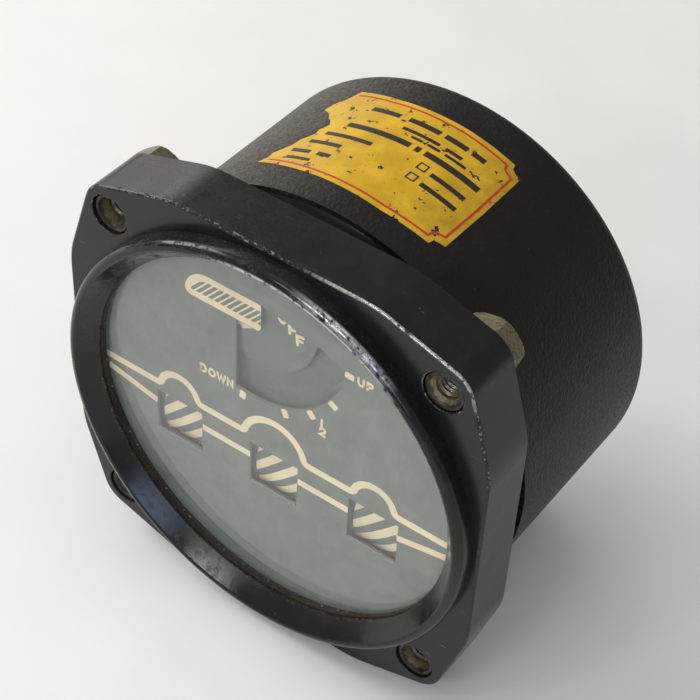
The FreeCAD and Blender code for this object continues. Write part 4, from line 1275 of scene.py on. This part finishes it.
class INDICATOR_OT_mechanism(bpy.types.Operator):
    """Finishes the frame, receiver, drum units and terminal board inside the case"""

    bl_idname = "indicator.mechanism"
    bl_label = "Mechanism"

    def execute(self, context):
        aluminium = mottled("frame_aluminium_cut", linear(196, 196, 196), 0.1, 0.8, (0.3, 0.45), 0.02, 3.0,
                            1.0, stretch=(0.3, 2.0, 2.0))
        brass = mottled("brass_turned", linear(196, 164, 96), 0.12, 1.2, (0.25, 0.4), 0.01, 5.0, 1.0)
        steel = mottled("steel_ground", linear(168, 168, 166), 0.12, 1.2, (0.25, 0.4), 0.01, 5.0, 1.0)
        iron = mottled("iron_laminated", linear(112, 108, 104), 0.25, 1.0, (0.4, 0.6), 0.03, 3.0, 0.9,
                       stretch=(0.5, 4.0, 0.5))
        magnet = mottled("magnet_cast", linear(120, 118, 114), 0.2, 0.9, (0.45, 0.65), 0.05, 2.5, 0.8)
        copper = mottled("copper_drawn", linear(208, 132, 92), 0.15, 0.9, (0.25, 0.4), 0.01, 4.0, 1.0)
        phenolic = mottled("board_phenolic", linear(92, 56, 32), 0.25, 0.7, (0.4, 0.55), 0.02, 3.0,
                           stretch=(1.0, 1.0, 0.3))
        wire = wound_wire("wire_enamelled", linear(190, 96, 44))
        groups = (
            (aluminium, ("rear_plate", "stator_bracket", "stator_clamp_ring")),
            (brass, ("stator_washers", "drum_bearings", "flap_bearings", "flap_collet", "frame_pillars",
                     "board_standoffs", "case_studs", "terminal_posts")),
            (steel, ("flap_shaft", "plate_snap_ring", "pillar_nuts", "bracket_screws", "stator_bolts")),
            (magnet, ("flap_rotor_magnet", "flap_park_magnet")),
            (iron, ("flap_stator_core",)), (copper, ("flap_damping_cup",)),
            (wire, ("flap_stator_winding",)), (phenolic, ("terminal_board",)))
        for material, nodes in groups:
            for node in nodes:
                dress(node, material)
        drum_parts = {"bracket": aluminium, "shaft": steel, "core": iron, "magnet": magnet, "coils": wire}
        for name in DRUM_X:
            for part, material in drum_parts.items():
                dress("drum_%s_%s" % (part, name), material)
        return {"FINISHED"}


# The photographed view: where the camera stands, in degrees and millimetres
VIEW_AZIMUTH = 33.60
VIEW_ELEVATION = 43.59
VIEW_ROLL = 3.49
VIEW_DISTANCE = 301.87
VIEW_TARGET = (2.22, 20.0, 7.51)
VIEW_LENS = 94.62
VIEW_SENSOR = 36.0
VIEW_SHIFT_X = -0.0032
# Floor: metres from the middle to its edges, how it leans towards the rear, and where it meets the object
FLOOR_REACH = 3.0
FLOOR_TILT = 0.0228
FLOOR_TOUCH_Y = 10.57
FLOOR_GAP = 0.02
SKY_COLOUR = (1.0, 0.972, 0.93, 1.0)
SKY_STRENGTH = 0.3


def place_camera():
    azimuth, elevation = math.radians(VIEW_AZIMUTH), math.radians(VIEW_ELEVATION)
    roll = math.radians(VIEW_ROLL)
    back = Vector((math.sin(azimuth) * math.cos(elevation), -math.cos(azimuth) * math.cos(elevation),
                   math.sin(elevation)))
    right = Vector((math.cos(azimuth), math.sin(azimuth), 0.0))
    upward = back.cross(right)
    turned_right = right * math.cos(roll) + upward * math.sin(roll)
    turned_up = upward * math.cos(roll) - right * math.sin(roll)
    data = bpy.data.cameras.new("view_camera")
    data.sensor_width = VIEW_SENSOR
    data.lens = VIEW_LENS
    data.shift_x = VIEW_SHIFT_X
    data.clip_start = 0.01
    data.clip_end = 20.0
    camera = bpy.data.objects.new("view_camera", data)
    bpy.context.scene.collection.objects.link(camera)
    spot = Vector(VIEW_TARGET) * MM + back * VIEW_DISTANCE * MM
    axes = Matrix((turned_right, turned_up, back)).transposed()
    camera.matrix_world = Matrix.Translation(spot) @ axes.to_4x4()
    bpy.context.scene.camera = camera


def lamp(name, spot, target, width, height, watts, colour):
    """A soft rectangular lamp that looks at a target; places in metres."""
    data = bpy.data.lights.new(name, "AREA")
    data.shape = "RECTANGLE"
    data.size = width
    data.size_y = height
    data.energy = watts
    data.color = colour
    holder = bpy.data.objects.new(name, data)
    bpy.context.scene.collection.objects.link(holder)
    holder.location = spot
    holder.rotation_mode = "QUATERNION"
    holder.rotation_quaternion = (Vector(target) - Vector(spot)).to_track_quat("-Z", "Y")


# Lamps: name, place in metres, width and height in metres, watts, colour; all look at one place
LAMP_TARGET = (0.0, 0.02, 0.0)
LAMPS = [
    ("key_left", (-0.85, -0.10, 0.50), 0.5, 0.5, 6.2, (1.0, 0.985, 0.96)),
    ("key_left_rear", (-0.85, 0.45, 0.45), 0.5, 0.5, 1.8, (1.0, 0.985, 0.96)),
    ("overhead", (0.0, 0.05, 1.0), 0.8, 0.8, 1.3, (1.0, 0.98, 0.95)),
    ("overhead_front", (-0.25, -0.60, 0.80), 0.12, 0.12, 0.6, (1.0, 1.0, 1.0)),
    ("window_front", (-0.01, -0.44, 0.34), 0.19, 0.07, 0.42, (1.0, 0.99, 0.97)),
    ("window_blue", (0.24, -0.42, 0.20), 0.17, 0.17, 0.40, (0.47, 0.66, 1.0)),
    ("room_right", (0.55, -0.55, 0.65), 0.5, 0.5, 0.4, (1.0, 0.93, 0.85)),
]


def place_floor():
    """A wide pale sheet that the object rests on."""
    shape = bmesh.new()
    height = side("bezel_flange", 2, 0) - FLOOR_GAP
    reach = FLOOR_REACH / MM
    corners = ((-reach, -reach), (reach, -reach), (reach, reach), (-reach, reach))
    made = [shape.verts.new((x, y, height + (y - FLOOR_TOUCH_Y) * FLOOR_TILT)) for x, y in corners]
    shape.faces.new(made)
    map_points(shape)
    finish = Finish("floor_pale", roughness=0.8)
    pale = colours().floor
    tone = finish.noise(0.05, 3.0, 0.5)
    finish.colour(finish.blend(finish.span(tone, 0.3, 0.7), shade(pale, 0.985), shade(pale, 1.015)))
    finish.rough(finish.span(tone, 0.3, 0.7, 0.7, 0.85))
    mesh = bpy.data.meshes.new("stage_floor")
    shape.to_mesh(mesh)
    shape.free()
    mesh.materials.append(finish.material)
    floor = bpy.data.objects.new("stage_floor", mesh)
    bpy.context.scene.collection.objects.link(floor)


class INDICATOR_OT_stage(bpy.types.Operator):
    """Sets the floor, the lamps, the sky and the camera"""

    bl_idname = "indicator.stage"
    bl_label = "Stage"

    def execute(self, context):
        place_floor()
        world = bpy.data.worlds.new("soft_sky")
        context.scene.world = world
        world.use_nodes = True
        sky = world.node_tree.nodes["Background"]
        sky.inputs["Color"].default_value = SKY_COLOUR
        sky.inputs["Strength"].default_value = SKY_STRENGTH

        for name, spot, width, height, watts, colour in LAMPS:
            lamp(name, spot, LAMP_TARGET, width, height, watts, colour)
        place_camera()
        context.scene.view_settings.view_transform = "Standard"
        return {"FINISHED"}


class INDICATOR_PT_panel(bpy.types.Panel):
    """Lists the pieces and the stage in the sidebar"""

    bl_idname = "INDICATOR_PT_panel"
    bl_label = "Position indicator"
    bl_space_type = "VIEW_3D"
    bl_region_type = "UI"
    bl_category = "Indicator"

    def draw(self, context):
        column = self.layout.column(align=True)
        for operator in OPERATORS:
            column.operator(operator.bl_idname)
        for title, group in (("Sizes", sizes()), ("Colours", colours())):
            box = self.layout.box()
            box.label(text=title)
            for key in group.bl_rna.properties.keys():
                if key not in ("rna_type", "name"):
                    box.prop(group, key)


OPERATORS = (INDICATOR_OT_bezel, INDICATOR_OT_glass, INDICATOR_OT_dial, INDICATOR_OT_pointer,
             INDICATOR_OT_drums, INDICATOR_OT_case, INDICATOR_OT_inserts, INDICATOR_OT_receptacle,
             INDICATOR_OT_mechanism, INDICATOR_OT_stage)
CLASSES = (IndicatorSizes, IndicatorColours, *OPERATORS, INDICATOR_PT_panel)


def register():
    for one in CLASSES:
        bpy.utils.register_class(one)
    bpy.types.Scene.indicator_sizes = bpy.props.PointerProperty(type=IndicatorSizes)
    bpy.types.Scene.indicator_colours = bpy.props.PointerProperty(type=IndicatorColours)


def unregister():
    del bpy.types.Scene.indicator_colours
    del bpy.types.Scene.indicator_sizes
    for one in reversed(CLASSES):
        bpy.utils.unregister_class(one)


def main():
    register()
    bpy.ops.indicator.bezel()
    bpy.ops.indicator.glass()
    bpy.ops.indicator.dial()
    bpy.ops.indicator.pointer()
    bpy.ops.indicator.drums()
    bpy.ops.indicator.case()
    bpy.ops.indicator.inserts()
    bpy.ops.indicator.receptacle()
    bpy.ops.indicator.mechanism()
    bpy.ops.indicator.stage()


if __name__ == "__main__":
    main()
